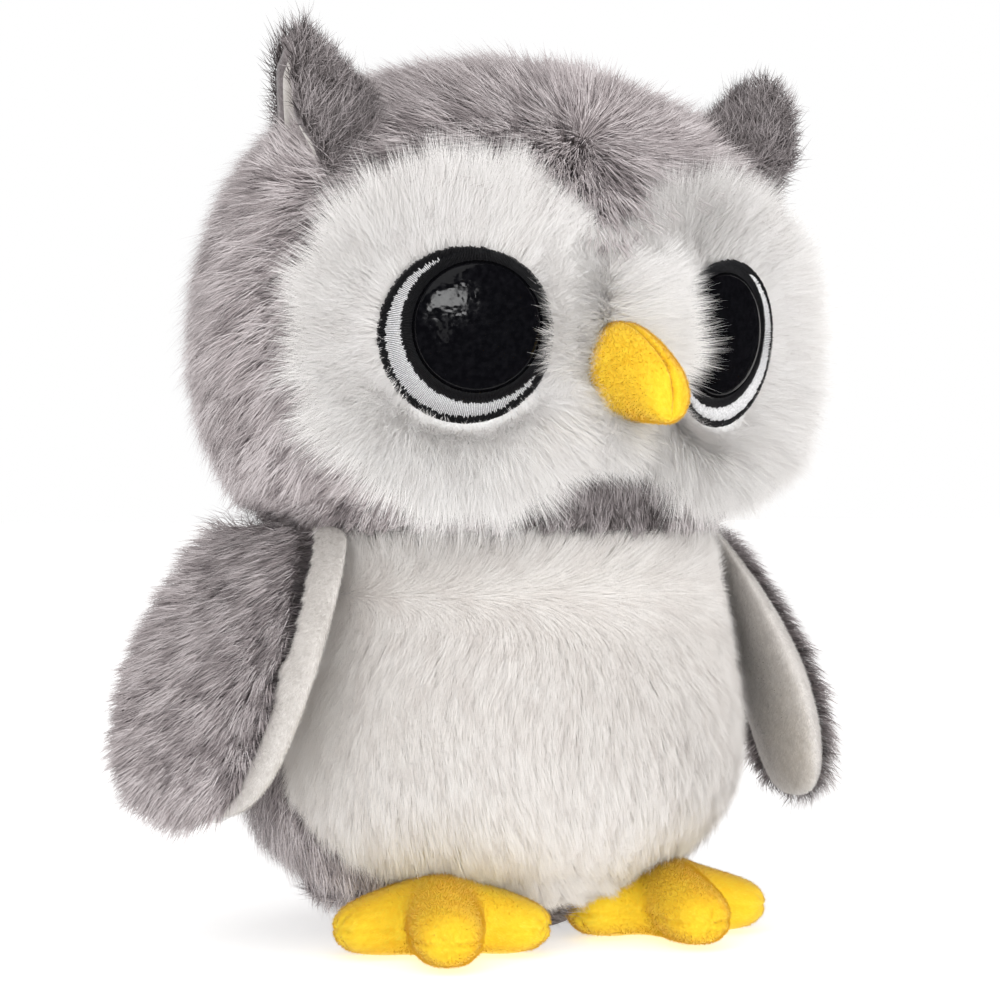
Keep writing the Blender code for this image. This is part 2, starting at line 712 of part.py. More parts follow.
def make_wing(side, word, parts, cutters, cloths, body_fitted):
    """Grey outer side, white lining that wraps the front edge, and the padding between."""
    place, turn = wing_hinge(side)
    across = Vector((0.0, 1.0, 0.0))
    thick = Vector((1.0, 0.0, 0.0))
    skin = wing_rings(side, 0.0)
    wall = wing_rings(side, WING_LINING_THICKNESS)
    inside = wing_rings(side, WING_LINING_THICKNESS + SEW_GAP)
    hollow = as_cutter(stuffed_cage(f"wing_hollow_{word}", cutters, wall, across, thick, LIMB_CORNERS))
    outer = stuffed_cage(f"wing_outer_{word}", parts, skin, across, thick, LIMB_CORNERS)
    lining = stuffed_cage(f"wing_lining_{word}", parts, skin, across, thick, LIMB_CORNERS)
    padding = stuffed_cage(f"wing_padding_{word}", parts, inside, across, thick, LIMB_CORNERS)
    outer.data.materials.append(cloths["grey"])
    lining.data.materials.append(cloths["lining"])
    padding.data.materials.append(cloths["fibre"])
    lining_side = lining_region(f"lining_side_{word}", cutters, side, 0.0)
    lining_fitted = lining_region(f"lining_fitted_{word}", cutters, side, SEW_GAP)
    for obj in (hollow, outer, lining, padding, lining_side, lining_fitted):
        obj.location = place
        obj.rotation_mode = "QUATERNION"
        obj.rotation_quaternion = turn
    boolean(outer, "DIFFERENCE", lining_side)
    boolean(lining, "INTERSECT", lining_fitted)

    travel = math.radians(WING_INWARD_TRAVEL_DEG + WING_TRAVEL_MARGIN_DEG)
    swing = Quaternion(turn @ across, -side * travel)
    swung = as_cutter(add_object(f"body_swung_{word}", body_fitted.data, cutters))
    swung.rotation_mode = "QUATERNION"
    swung.rotation_quaternion = swing
    swung.location = place - swing @ place
    for obj in (outer, lining, padding):
        boolean(obj, "DIFFERENCE", body_fitted)
        boolean(obj, "DIFFERENCE", swung)
    for obj in (outer, lining):
        boolean(obj, "DIFFERENCE", hollow)


# Feet

def foot_forms(name, collection, side, inset, corners):
    """Three toes that grow from one pad, each a stuffed roll that starts behind the pad's middle."""
    up = Vector((0.0, 0.0, 1.0))
    pad = Vector((side * FOOT_OFF_MIDDLE, -FOOT_PAD_FORWARD, FOOT_HEIGHT / 2 - FLOOR_FLAT))
    made = []
    middle_toe = (0, TOE_REACH, FOOT_HEIGHT)
    side_toes = [(toe, SIDE_TOE_REACH, FOOT_HEIGHT * SIDE_TOE_TALL_SHARE) for toe in (-1, 1)]
    for toe, reach, height in [middle_toe] + side_toes:
        turn = math.radians(FEET_SWING_DEG + side * FOOT_TURN_DEG + toe * TOE_SPREAD_DEG)
        ahead = Vector((math.sin(turn), -math.cos(turn), 0.0))
        across = Vector((math.cos(turn), math.sin(turn), 0.0))
        root = pad + up * SIDE_TOE_RISE * abs(toe)
        rings = []
        for along, wide, tall in TOE_SHARES:
            run = along * reach - math.copysign(inset, along)
            rings.append((root + ahead * run, wide * TOE_WIDTH / 2 - inset, tall * height / 2 - inset))
        roll = stuffed_cage(f"{name}_toe_{toe}", collection, rings, across, up, corners)
        made.append(as_cutter(roll))
    for toe in made[1:]:
        boolean(made[0], "UNION", toe, "MANIFOLD")
    return made[0]


def foot_region(name, cutters, side, low, high):
    """A box round the whole foot between two heights."""
    reach = TOE_REACH + TOE_WIDTH
    middle = Vector((side * FOOT_OFF_MIDDLE, -FOOT_PAD_FORWARD, 0.0))
    return as_cutter(
        box(name, cutters, middle + Vector((-reach, -reach, low)), middle + Vector((reach, reach, high)))
    )


def make_foot(side, word, parts, cutters, cloths, body_fitted):
    """Upper and sole, sewn at a level seam round the toes, over their filling."""
    top = FOOT_HEIGHT + CUT_OVERRUN
    filling_inset = VELBOA_COVER + SEW_GAP
    above = foot_region(f"above_seam_{word}", cutters, side, FOOT_SEAM_HEIGHT + SEW_GAP, top)
    below = foot_region(f"below_seam_{word}", cutters, side, 0.0, FOOT_SEAM_HEIGHT)
    inside = foot_region(f"over_sole_{word}", cutters, side, filling_inset, top)
    hollow = foot_forms(f"foot_hollow_{word}", cutters, side, VELBOA_COVER, FILLING_CORNERS)
    for name, region, cloth, inset, corners in (
        (f"foot_upper_{word}", above, "yellow", 0.0, LIMB_CORNERS),
        (f"foot_sole_{word}", below, "yellow", 0.0, LIMB_CORNERS),
        (f"foot_stuffing_{word}", inside, "fibre", filling_inset, FILLING_CORNERS),
    ):
        piece = foot_forms(f"{name}_form", cutters, side, inset, corners)
        as_part(piece, name, cutters, parts, cloths[cloth])
        boolean(piece, "INTERSECT", region, "MANIFOLD")
        boolean(piece, "DIFFERENCE", body_fitted, "MANIFOLD")
        if inset == 0.0:
            boolean(piece, "DIFFERENCE", hollow, "MANIFOLD")


def main():
    clear_scene()
    parts = new_collection("plush_owl")
    cutters = new_collection("cutters")
    cloths = {
        "grey": fabric("grey_plush", (0.34, 0.30, 0.31), 0.95),
        "white": fabric("white_plush", (0.80, 0.78, 0.76), 0.95),
        "lining": fabric("white_velboa", (0.78, 0.76, 0.74), 0.90),
        "yellow": fabric("yellow_velboa", (0.95, 0.55, 0.03), 0.85),
        "black": fabric("black_stitching", (0.01, 0.01, 0.012), 0.60),
        "thread": fabric("white_stitching", (0.80, 0.80, 0.80), 0.50),
        "gloss": fabric("black_gloss", (0.005, 0.005, 0.007), 0.08),
        "fibre": fabric("polyester_fibre", (0.85, 0.85, 0.85), 1.00),
    }
    head_fitted = make_head(parts, cutters, cloths)
    make_beak(parts, cutters, cloths, head_fitted, cheeks(cutters, SEW_GAP))
    body_fitted = make_body(parts, cutters, cloths)
    for side, word in ((-1, "right"), (1, "left")):
        make_eye(side, word, parts, cutters, cloths)
        make_ear(side, word, parts, cloths, head_fitted)
        make_wing(side, word, parts, cutters, cloths, body_fitted)
        make_foot(side, word, parts, cutters, cloths, body_fitted)
    for obj in parts.objects:
        smooth(obj)


main()
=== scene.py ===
import math

import bmesh
import bpy
import numpy as np
from mathutils import Matrix, Vector


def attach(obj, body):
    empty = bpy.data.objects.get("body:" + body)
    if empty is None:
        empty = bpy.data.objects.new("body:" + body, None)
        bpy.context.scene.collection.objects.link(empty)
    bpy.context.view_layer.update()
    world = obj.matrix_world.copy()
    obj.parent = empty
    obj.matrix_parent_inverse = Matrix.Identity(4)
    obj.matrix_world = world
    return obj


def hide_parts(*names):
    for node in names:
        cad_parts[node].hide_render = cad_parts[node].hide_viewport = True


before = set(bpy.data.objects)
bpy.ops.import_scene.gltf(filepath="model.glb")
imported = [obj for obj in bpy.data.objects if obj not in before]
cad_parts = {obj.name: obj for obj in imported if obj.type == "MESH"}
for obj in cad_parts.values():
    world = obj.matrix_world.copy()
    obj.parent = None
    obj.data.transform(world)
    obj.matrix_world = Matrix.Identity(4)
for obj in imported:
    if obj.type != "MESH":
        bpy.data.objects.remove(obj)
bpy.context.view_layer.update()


# The camera, the light and the table
# The owl sits on a plain white table in soft studio light: a white room, one wide lamp up to the
# left and a low one in front. Two cards in front light only what is glossy, above all the pupils.
# The camera stands level with the owl's chest, to its right.


class Wire:
    """One value running between nodes, so that a sum or a product of it lays its own node."""

    def __init__(self, bench, socket):
        self.bench = bench
        self.socket = socket

    def other(self, name):
        """Another output of the node that this value comes from."""
        return Wire(self.bench, next(s for s in self.socket.node.outputs if s.name == name and s.enabled))

    def _with(self, operation, first, second):
        vectors = [
            isinstance(x, tuple) or isinstance(x, Wire) and x.socket.type == "VECTOR"
            for x in (first, second)
        ]
        if not any(vectors):
            return self.bench.lay("ShaderNodeMath", {"operation": operation}, {0: first, 1: second})
        if operation == "MULTIPLY" and not all(vectors):
            vector, size = (first, second) if vectors[0] else (second, first)
            return self.bench.lay("ShaderNodeVectorMath", {"operation": "SCALE"}, {0: vector, "Scale": size})
        return self.bench.lay("ShaderNodeVectorMath", {"operation": operation}, {0: first, 1: second})

    def __add__(self, other):
        return self._with("ADD", self, other)

    def __sub__(self, other):
        return self._with("SUBTRACT", self, other)

    def __rsub__(self, other):
        return self._with("SUBTRACT", other, self)

    def __mul__(self, other):
        return self._with("MULTIPLY", self, other)

    def __pow__(self, other):
        return self._with("POWER", self, other)

    def __gt__(self, other):
        return self._with("GREATER_THAN", self, other)


class Bench:
    """A place to lay the nodes of one tree."""

    def __init__(self, tree):
        self.tree = tree

    def lay(self, kind, settings=None, sockets=None, output=0):
        """A node of this kind, with its settings, and values or links for its sockets."""
        node = self.tree.nodes.new(kind)
        for name, value in (settings or {}).items():
            if name == "stops":
                for stop, (place, colour) in zip(node.color_ramp.elements, value):
                    stop.position = place
                    stop.color = (*colour, 1.0)
            else:
                setattr(node, name, value)
        for name, value in (sockets or {}).items():
            if isinstance(name, int):
                socket = node.inputs[name]
            else:
                socket = next(s for s in node.inputs if s.name == name and s.enabled)
            if isinstance(value, Wire):
                self.tree.links.new(value.socket, socket)
            else:
                socket.default_value = value
        if not node.outputs:
            return None
        if isinstance(output, str):
            return Wire(self, next(s for s in node.outputs if s.name == output and s.enabled))
        return Wire(self, [s for s in node.outputs if s.enabled][output])


def new_finish(name, plain, pattern=None):
    """A finish with its plain values, and what its pattern lays where it changes over the piece."""
    material = bpy.data.materials.new(name)
    material.use_nodes = True
    shader = material.node_tree.nodes["Principled BSDF"]
    for word, value in plain.items():
        shader.inputs[word].default_value = value
    if pattern:
        bench = Bench(material.node_tree)
        place = bench.lay("ShaderNodeTexCoord", output="Object")
        for word, wire in pattern(bench, place).items():
            material.node_tree.links.new(wire.socket, shader.inputs[word])
    return material


scene = bpy.context.scene
scene.view_settings.view_transform = "Standard"


def put(name, data):
    """A new object, put into the scene."""
    made = bpy.data.objects.new(name, data)
    scene.collection.objects.link(made)
    return made


def facing(place, aim):
    """How a camera or a lamp at this place is turned to look at its aim."""
    return (Vector(aim) - Vector(place)).to_track_quat("-Z", "Y").to_euler()


camera = put("camera", bpy.data.cameras.new("camera"))
camera_turn = math.radians(29.0)
camera_distance = 0.70
camera_x = -camera_distance * math.sin(camera_turn)
camera_y = -camera_distance * math.cos(camera_turn)
camera.location = (camera_x, camera_y, 0.1156)
camera.rotation_euler = facing(camera.location, (0.0, 0.0, 0.114))
camera.data.lens = 93.85
camera.data.sensor_width = 36.0
camera.data.clip_start = 0.01
scene.camera = camera

room = bpy.data.worlds.new("white_room")
room.use_nodes = True
room.node_tree.nodes.clear()
bench = Bench(room.node_tree)
ray = bench.lay("ShaderNodeLightPath", output="Is Camera Ray")
shown = bench.lay("ShaderNodeBackground", sockets={"Color": (1.0, 1.0, 1.0, 1.0), "Strength": 1.0})
soft = bench.lay("ShaderNodeBackground", sockets={"Color": (1.0, 0.985, 0.975, 1.0), "Strength": 0.80})
dark = bench.lay("ShaderNodeBackground", sockets={"Color": (1.0, 1.0, 1.0, 1.0), "Strength": 0.02})
lit = bench.lay("ShaderNodeMixShader", sockets={0: ray.other("Is Glossy Ray"), 1: soft, 2: dark})
both = bench.lay("ShaderNodeMixShader", sockets={0: ray, 1: lit, 2: shown})
bench.lay("ShaderNodeOutputWorld", sockets={"Surface": both})
scene.world = room


def lamp(name, place, aim, wide, tall, watts):
    """An oblong of soft light, turned to its aim."""
    light = bpy.data.lights.new(name, "AREA")
    light.shape = "RECTANGLE"
    light.size = wide
    light.size_y = tall
    light.energy = watts
    made = put(name, light)
    made.location = place
    made.rotation_euler = facing(place, aim)
    return made


right_pupil = (-0.04, -0.04, 0.154)
lamp("wide_lamp", (-0.74, -0.72, 1.00), (0.0, 0.0, 0.12), 1.30, 1.30, 6.1)
low_lamp = lamp("low_lamp", (0.05, -1.32, 0.10), (0.0, 0.0, 0.10), 0.90, 0.30, 6.4)
low_lamp.visible_glossy = False
for card in (
    lamp("bright_card", (-0.58, -1.22, 0.20), right_pupil, 0.42, 0.18, 2.8),
    lamp("grey_card", (-0.216, -0.454, 0.115), right_pupil, 0.022, 0.18, 0.012),
):
    card.visible_camera = False
    card.visible_diffuse = False

table = bpy.data.meshes.new("table")
table_corners = [(-9.0, -9.0, 0.0), (9.0, -9.0, 0.0), (9.0, 9.0, 0.0), (-9.0, 9.0, 0.0)]
table.from_pydata(table_corners, [], [(0, 1, 2, 3)])
white_board = {
    "Base Color": (0.80, 0.80, 0.80, 1.0),
    "Roughness": 0.9,
    "Emission Color": (1.0, 1.0, 1.0, 1.0),
    "Emission Strength": 0.54,
}
table.materials.append(new_finish("white_board", white_board))
table_top = put("table", table)
table_top.visible_glossy = False


# The hood: back, top and chin of the head
# Grey long-pile plush, a knitted backing with a brushed polyester pile, sewn as a hood that is
# stuffed hard and closed on the neck seam. The cloth lies under the pile, 4.5 mm in, and is drawn
# in to a shallow dish behind each eye. The pile is combed away from a whorl on the forehead.

PILE_DEPTH = 0.0045
CLOTH_WALL = 0.0012
NECK_HEIGHT = 0.106
HEAD_FLOOR = 0.1068
HEAD_TOP = 0.2295
HEAD_WIDEST_HEIGHT = 0.157
HEAD_HALF_WIDTH = 0.085
HEAD_MIDDLE = np.array((0.0, 0.0, 0.155))
CHEEK_TURN = math.radians(26.0)
CHEEK_HEIGHT = 0.155
CHEEK_RADIUS = 0.047
EAR_TURN = math.radians(68.0)
EYE_TURN = math.radians(27.5)
EYE_HEIGHT = 0.154
EYE_DOME = 0.090
WHORL = np.array((0.0, -0.044, 0.206))


def unit(vectors):
    """The same directions, each of length one."""
    return vectors / np.maximum(np.linalg.norm(vectors, axis=-1, keepdims=True), 1e-9)


def ramped(value, start, end):
    """0 before start, 1 after end, and smooth between them."""
    part = np.clip((value - start) / (end - start), 0.0, 1.0)
    return part * part * (3 - 2 * part)


def hill(value, middle, spread):
    """1 at the middle and falling off smoothly on both sides of it."""
    return np.exp(-(((value - middle) / spread) ** 2))


def depth_share(height):
    """The toy's depth over its width: an oval head on a rounder neck and body."""
    neck = 0.100 / 0.118
    far = np.where(height > NECK_HEIGHT, 0.124 / 0.170, 0.125 / 0.136)
    part = np.abs(height - NECK_HEIGHT) / np.where(height > NECK_HEIGHT, 0.051, 0.059)
    return neck + (far - neck) * np.sin(math.pi / 2 * np.clip(part, 0.0, 1.0))


def head_radius(height):
    """Half the head's width at a height: a rounded top on a squarer lower half."""
    top, low = 2.2, 2.6
    reach = 0.051 / (1 - (0.060 / HEAD_HALF_WIDTH) ** low) ** (1 / low)
    up = np.clip((height - HEAD_WIDEST_HEIGHT) / 0.0725, 0.0, 1.0)
    down = np.clip((HEAD_WIDEST_HEIGHT - height) / reach, 0.0, 1.0)
    upper = (1 - up**top) ** (1 / top)
    lower = (1 - down**low) ** (1 / low)
    return HEAD_HALF_WIDTH * np.where(height > HEAD_WIDEST_HEIGHT, upper, lower)


def head_place(turn, height):
    """The point of the head's oval at this turn from the front, counted towards +X."""
    wide = float(head_radius(height))
    share = float(depth_share(height))
    return np.array((wide * math.sin(turn), -wide * share * math.cos(turn), height))


def head_outward(turn):
    """The level direction away from the head's oval at this turn."""
    return unit(np.array((math.sin(turn) / 0.170, -math.cos(turn) / 0.124, 0.0)))


def inside_head(points):
    """Whether each point lies in the stuffed head: its oval form, or one of the two round cheeks."""
    wide = np.maximum(head_radius(points[:, 2]), 1e-6)
    deep = wide * depth_share(points[:, 2])
    oval = (points[:, 0] / wide) ** 2 + (points[:, 1] / deep) ** 2 < 1
    within = oval & (points[:, 2] > HEAD_FLOOR) & (points[:, 2] < HEAD_TOP)
    for side in (-1, 1):
        outward = head_outward(side * CHEEK_TURN)
        cheek = head_place(side * CHEEK_TURN, CHEEK_HEIGHT) + outward * (0.0045 - CHEEK_RADIUS)
        within |= np.linalg.norm(points - cheek, axis=1) < CHEEK_RADIUS
    return within


def cloth_normals(points, faces):
    """The way the cloth faces at each of its points."""
    total = np.zeros_like(points)
    first = points[faces[:, 0]]
    flat = np.cross(points[faces[:, 1]] - first, points[faces[:, 2]] - first)
    for corner in range(3):
        np.add.at(total, faces[:, corner], flat)
    return unit(total)


def eased(points, faces, times):
    """The cloth drawn smooth over its stuffing."""
    ends = np.vstack((faces[:, (0, 1)], faces[:, (1, 2)], faces[:, (2, 0)]))
    for _ in range(times):
        total = np.zeros_like(points)
        count = np.zeros((len(points), 1))
        np.add.at(total, ends[:, 0], points[ends[:, 1]])
        np.add.at(count, ends[:, 0], 1.0)
        points = points * 0.5 + total / count * 0.5
    return points


def stuffed_skin(middle, inside, lowest, highest, times):
    """A closed cloth blown up inside a stuffed form until it fills it, then set in under its pile."""
    shape = bmesh.new()
    bmesh.ops.create_icosphere(shape, subdivisions=6, radius=1.0)
    rays = unit(np.array([v.co[:] for v in shape.verts]))
    faces = np.array([[v.index for v in f.verts] for f in shape.faces])
    shape.free()
    near = np.zeros(len(rays))
    far = np.full(len(rays), 0.2)
    for _ in range(28):
        reach = (near + far) / 2
        within = inside(middle + rays * reach[:, None])
        near = np.where(within, reach, near)
        far = np.where(within, far, reach)
    points = eased(middle + rays * near[:, None], faces, times)
    points = points - cloth_normals(points, faces) * PILE_DEPTH
    floor = rays[:, 2] < -0.6
    points[:, 2] = np.where(floor, np.clip(points[:, 2] - PILE_DEPTH, lowest, None), points[:, 2])
    points[:, 2] = np.clip(points[:, 2], lowest, highest)
    return points, faces


def cut_cloth(name, skin, keep=None, **values):
    """A mesh of the kept faces, with a value for its pile at every point."""
    points, faces = skin
    if keep is not None:
        faces = faces[keep]
    used = np.unique(faces)
    place = np.full(len(points), -1)
    place[used] = np.arange(len(used))
    mesh = bpy.data.meshes.new(name)
    mesh.from_pydata(points[used].tolist(), [], place[faces].tolist())
    for word, array in values.items():
        array = np.asarray(array, dtype=np.float32)[used]
        kind = "FLOAT_VECTOR" if array.ndim == 2 else "FLOAT"
        attribute = mesh.attributes.new(word, kind, "POINT")
        attribute.data.foreach_set("vector" if array.ndim == 2 else "value", array.ravel())
    mesh.shade_smooth()
    return mesh


def applied(obj):
    """The object's mesh with its modifiers worked in, and the modifiers gone."""
    graph = bpy.context.evaluated_depsgraph_get()
    mesh = bpy.data.meshes.new_from_object(obj.evaluated_get(graph))
    obj.modifiers.clear()
    obj.data = mesh
    return obj


def sewn_piece(name, mesh, body, material, nodes=(), thick=0.0):
    """A piece of cloth in its place, given its wall, its finish and the solids that it stands for."""
    made = put(name, mesh)
    mesh.materials.clear()
    mesh.materials.append(material)
    if thick:
        wall = made.modifiers.new("wall", "SOLIDIFY")
        wall.thickness = thick
        wall.offset = -1.0
        applied(made)
    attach(made, body)
    if nodes:
        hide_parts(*nodes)


def noise(bench, place, scale, detail, roughness=0.5):
    """Soft random patches, this many to the metre."""
    sockets = {"Vector": place, "Scale": scale, "Detail": detail, "Roughness": roughness}
    return bench.lay("ShaderNodeTexNoise", {}, sockets)


def shaded(bench, value, low, dark_colour, high, light_colour):
    """A colour that goes from dark to light as the value rises."""
    return bench.lay("ShaderNodeValToRGB", {"stops": ((low, dark_colour), (high, light_colour))}, {0: value})


def raised(bench, height, distance, strength):
    """The surface as these heights tip it."""
    return bench.lay("ShaderNodeBump", {}, {"Height": height, "Distance": distance, "Strength": strength})


def knit_backing(name, dark_colour, light_colour):
    """The knitted cloth that a pile stands in: fine loops, and soft patches of colour."""

    def pattern(bench, place):
        patches = noise(bench, place, 160.0, 4.0)
        loops = bench.lay("ShaderNodeTexVoronoi", {}, {"Vector": place, "Scale": 1400.0})
        return {
            "Base Color": shaded(bench, patches * 0.7 + loops * 0.35, 0.3, dark_colour, 0.7, light_colour),
            "Normal": raised(bench, loops, 0.0002, 0.6),
        }

    return new_finish(name, {"Roughness": 0.95, "Sheen Weight": 0.25}, pattern)


def pile_shades(name, colours, sheen=0.08):
    """The four shades of one pile's strands, from the roots, darker as painted shade, to the brushed tips,
    lighter as painted highlight.
    """
    plain = {"Roughness": 0.7, "Specular IOR Level": 0.25, "Sheen Weight": sheen, "Sheen Roughness": 0.5}
    return [
        new_finish(f"{name}_{word}", {"Base Color": (*colour, 1.0), **plain})
        for word, colour in zip(("root", "deep", "body", "tip"), colours)
    ]


def node_tool(name, output, inputs):
    """A Geometry Nodes tree with its output and its named inputs, and the bench for its nodes."""
    tree = bpy.data.node_groups.new(name, "GeometryNodeTree")
    tree.interface.new_socket(output, in_out="OUTPUT", socket_type="NodeSocketGeometry")
    for kind, words in inputs:
        for word in words:
            tree.interface.new_socket(word, in_out="INPUT", socket_type=f"NodeSocket{kind}")
    bench = Bench(tree)
    return tree, bench, bench.lay("NodeGroupInput")


def worked(name, mesh, tree, given):
    """A new object whose mesh the tree has worked, its inputs set from the values given."""
    made = put(name, mesh)
    tool = made.modifiers.new("tool", "NODES")
    tool.node_group = tree
    for item in tree.interface.items_tree:
        word = item.name.lower().replace(" ", "_")
        if item.in_out == "INPUT" and word in given:
            tool[item.identifier] = given[word]
    return applied(made)


def pile_tool():
    """The tree that sets a pile: strands rooted all over a cloth, combed and gathered into tufts."""
    inputs = (
        ("Geometry", ("Cloth",)),
        ("Float", ("Strands Per Square Metre", "Length", "Width", "Wander", "Stray")),
        ("Float", ("Tuft Size", "Gather", "Frizz", "Soft")),
        ("Int", ("Joints", "Seed")),
        ("Material", ("Root", "Deep", "Body", "Tip")),
    )
    tree, bench, given = node_tool("pile", "Pile", inputs)

    def attribute(name, kind="FLOAT"):
        return bench.lay("GeometryNodeInputNamedAttribute", {"data_type": kind}, {"Name": name}, "Attribute")

    def stored(geometry, name, value, domain="POINT", kind="FLOAT"):
        sockets = {"Geometry": geometry, "Name": name, "Value": value}
        return bench.lay("GeometryNodeStoreNamedAttribute", {"data_type": kind, "domain": domain}, sockets)

    def chance(low, high, seed, kind="FLOAT"):
        sockets = {"Min": low, "Max": high, "Seed": given.other("Seed") + float(seed)}
        return bench.lay("FunctionNodeRandomValue", {"data_type": kind}, sockets, "Value")

    def any_way(seed):
        return chance((-1.0, -1.0, -1.0), (1.0, 1.0, 1.0), seed, "FLOAT_VECTOR")

    def vector(operation, first, second=None, output=0):
        sockets = {0: first} if second is None else {0: first, 1: second}
        return bench.lay("ShaderNodeVectorMath", {"operation": operation}, sockets, output)

    def laid_flat(way, normal):
        return way - normal * vector("DOT_PRODUCT", way, normal, "Value")

    # One strand, of unit size: it rises from its root and lies over towards its tip
    sizes = {"Size X": 1.0, "Size Y": 1.0, "Vertices X": given.other("Joints"), "Vertices Y": 2}
    strand = bench.lay("GeometryNodeMeshGrid", {}, sizes)
    spot = bench.lay("GeometryNodeInputPosition")
    along = bench.lay("ShaderNodeSeparateXYZ", {}, {0: spot}, "X")
    across = along.other("Y")
    along = along + 0.5
    strand = stored(strand, "outer", along, "FACE")
    bent = {"X": along**1.35, "Y": across * (1.0 - along**2.4), "Z": 1.0 - (1.0 - along) ** 1.7}
    bent = bench.lay("ShaderNodeCombineXYZ", {}, bent)
    strand = bench.lay("GeometryNodeSetPosition", {}, {"Geometry": strand, "Position": bent})
    strand = bench.lay("GeometryNodeMergeByDistance", {}, {"Geometry": strand, "Distance": 0.001})

    # The roots, and the way that each strand is combed
    density = given.other("Strands Per Square Metre") * attribute("thick")
    sockets = {"Mesh": given.other("Cloth"), "Density": density, "Seed": given.other("Seed")}
    roots = bench.lay("GeometryNodeDistributePointsOnFaces", {}, sockets)
    normal = roots.other("Normal")
    root = bench.lay("GeometryNodeInputPosition")
    nap = vector("NORMALIZE", laid_flat(attribute("nap", "FLOAT_VECTOR"), normal))
    sockets = {"Vector": root, "Scale": given.other("Tuft Size") ** -1.0}
    tuft = bench.lay("ShaderNodeTexVoronoi", {}, sockets, "Position")
    tuft_chance = bench.lay("FunctionNodeSeparateColor", {}, {0: tuft.other("Color")}, "Red")
    wave = bench.lay("ShaderNodeTexNoise", {}, {"Vector": root, "Scale": 55.0, "Detail": 2.0}, "Color")
    wave = vector("SUBTRACT", wave, (0.5, 0.5, 0.5))
    length = given.other("Length") * attribute("grow") * chance(0.72, 1.12, 1) * (tuft_chance * 0.3 + 0.85)
    lean = attribute("lift") + chance(-0.14, 0.14, 2)
    run = length * bench.lay("ShaderNodeMath", {"operation": "COSINE"}, {0: lean})
    rise = length * bench.lay("ShaderNodeMath", {"operation": "SINE"}, {0: lean})
    comb = (
        nap * run
        + wave * (length * given.other("Wander"))
        + any_way(3) * (length * given.other("Stray"))
        + (tuft - root) * given.other("Gather")
    )
    comb = laid_flat(comb, normal)
    tilted = vector("NORMALIZE", normal + any_way(4) * given.other("Frizz"))
    axes = {"primary_axis": "Z", "secondary_axis": "X"}
    turn = bench.lay("FunctionNodeAxesToRotation", axes, {"Primary Axis": tilted, "Secondary Axis": comb})
    width = given.other("Width") * chance(0.7, 1.3, 5)
    sockets = {"X": vector("LENGTH", comb, output="Value"), "Y": width, "Z": rise}
    size = bench.lay("ShaderNodeCombineXYZ", {}, sockets)
    roots = stored(roots, "shade", tuft_chance * 0.38 + chance(0.0, 0.34, 6))
    roots = stored(roots, "cloth_up", normal, kind="FLOAT_VECTOR")

    # The strands on their roots, each face shaded by its tuft and by chance, and lighter the farther out it is:
    # painted shade at the roots, painted highlight at the tips
    sockets = {"Points": roots, "Instance": strand, "Rotation": turn, "Scale": size}
    pile = bench.lay("GeometryNodeInstanceOnPoints", {}, sockets)
    pile = bench.lay("GeometryNodeRealizeInstances", {}, {"Geometry": pile})
    shade = attribute("shade") + attribute("outer") * 0.36
    pile = bench.lay("GeometryNodeSetMaterial", {}, {"Geometry": pile, "Material": given.other("Root")})
    for word, level in (("Deep", 0.34), ("Body", 0.50), ("Tip", 0.70)):
        sockets = {"Geometry": pile, "Selection": shade > level, "Material": given.other(word)}
        pile = bench.lay("GeometryNodeSetMaterial", {}, sockets)
    pile = bench.lay("GeometryNodeSetShadeSmooth", {}, {0: pile})
    softness = given.other("Soft")
    faced = bench.lay("GeometryNodeInputNormal") * (1.0 - softness)
    faced = vector("NORMALIZE", faced + attribute("cloth_up", "FLOAT_VECTOR") * softness)
    sockets = {"Mesh": pile, "Custom Normal": faced}
    pile = bench.lay("GeometryNodeSetMeshNormal", {"mode": "FREE", "domain": "POINT"}, sockets)
    bench.lay("NodeGroupOutput", {}, {"Pile": pile})
    return tree


PILE = pile_tool()
LOWEST_STRAND = 0.0006


def combed(points, nap, lift, grow=1.0, thick=1.0):
    """What a pile needs at every point: its nap, its lift in degrees, and how long and thick it is."""
    even = np.ones(len(points))
    return {
        "nap": nap * even[:, None],
        "lift": np.radians(lift) * even,
        "grow": grow * even,
        "thick": thick * even,
    }


def brushed_pile(name, skin, keep, comb, body, slot, shades, seed, **sizes):
    """The pile of one cloth as a piece of its own, kept off the table."""
    given = {
        "strands_per_square_metre": 3.0e6,
        "length": 0.009,
        "width": 0.00024,
        "wander": 0.9,
        "stray": 0.16,
        "tuft_size": 0.0034,
        "gather": 0.75,
        "frizz": 0.25,
        "soft": 0.6,
        "joints": 3,
        "seed": seed,
    }
    given.update(sizes)
    given.update(zip(("root", "deep", "body", "tip"), shades))
    made = worked(name, cut_cloth(name, skin, keep, **comb), PILE, given)
    places = np.zeros(len(made.data.vertices) * 3, np.float32)
    made.data.vertices.foreach_get("co", places)
    places[2::3] = np.maximum(places[2::3], LOWEST_STRAND)
    made.data.vertices.foreach_set("co", places)
    for word in ("outer", "shade", "cloth_up"):
        if word in made.data.attributes:
            made.data.attributes.remove(made.data.attributes[word])
    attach(made, body)


EYES = {}
for side, word in ((-1, "right"), (1, "left")):
    outward = head_outward(side * EYE_TURN)
    tipped_down = math.radians(8.0)
    axis = outward * math.cos(tipped_down) - np.array((0.0, 0.0, math.sin(tipped_down)))
    EYES[word] = (head_place(side * EYE_TURN, EYE_HEIGHT) - outward * 0.0015, axis)

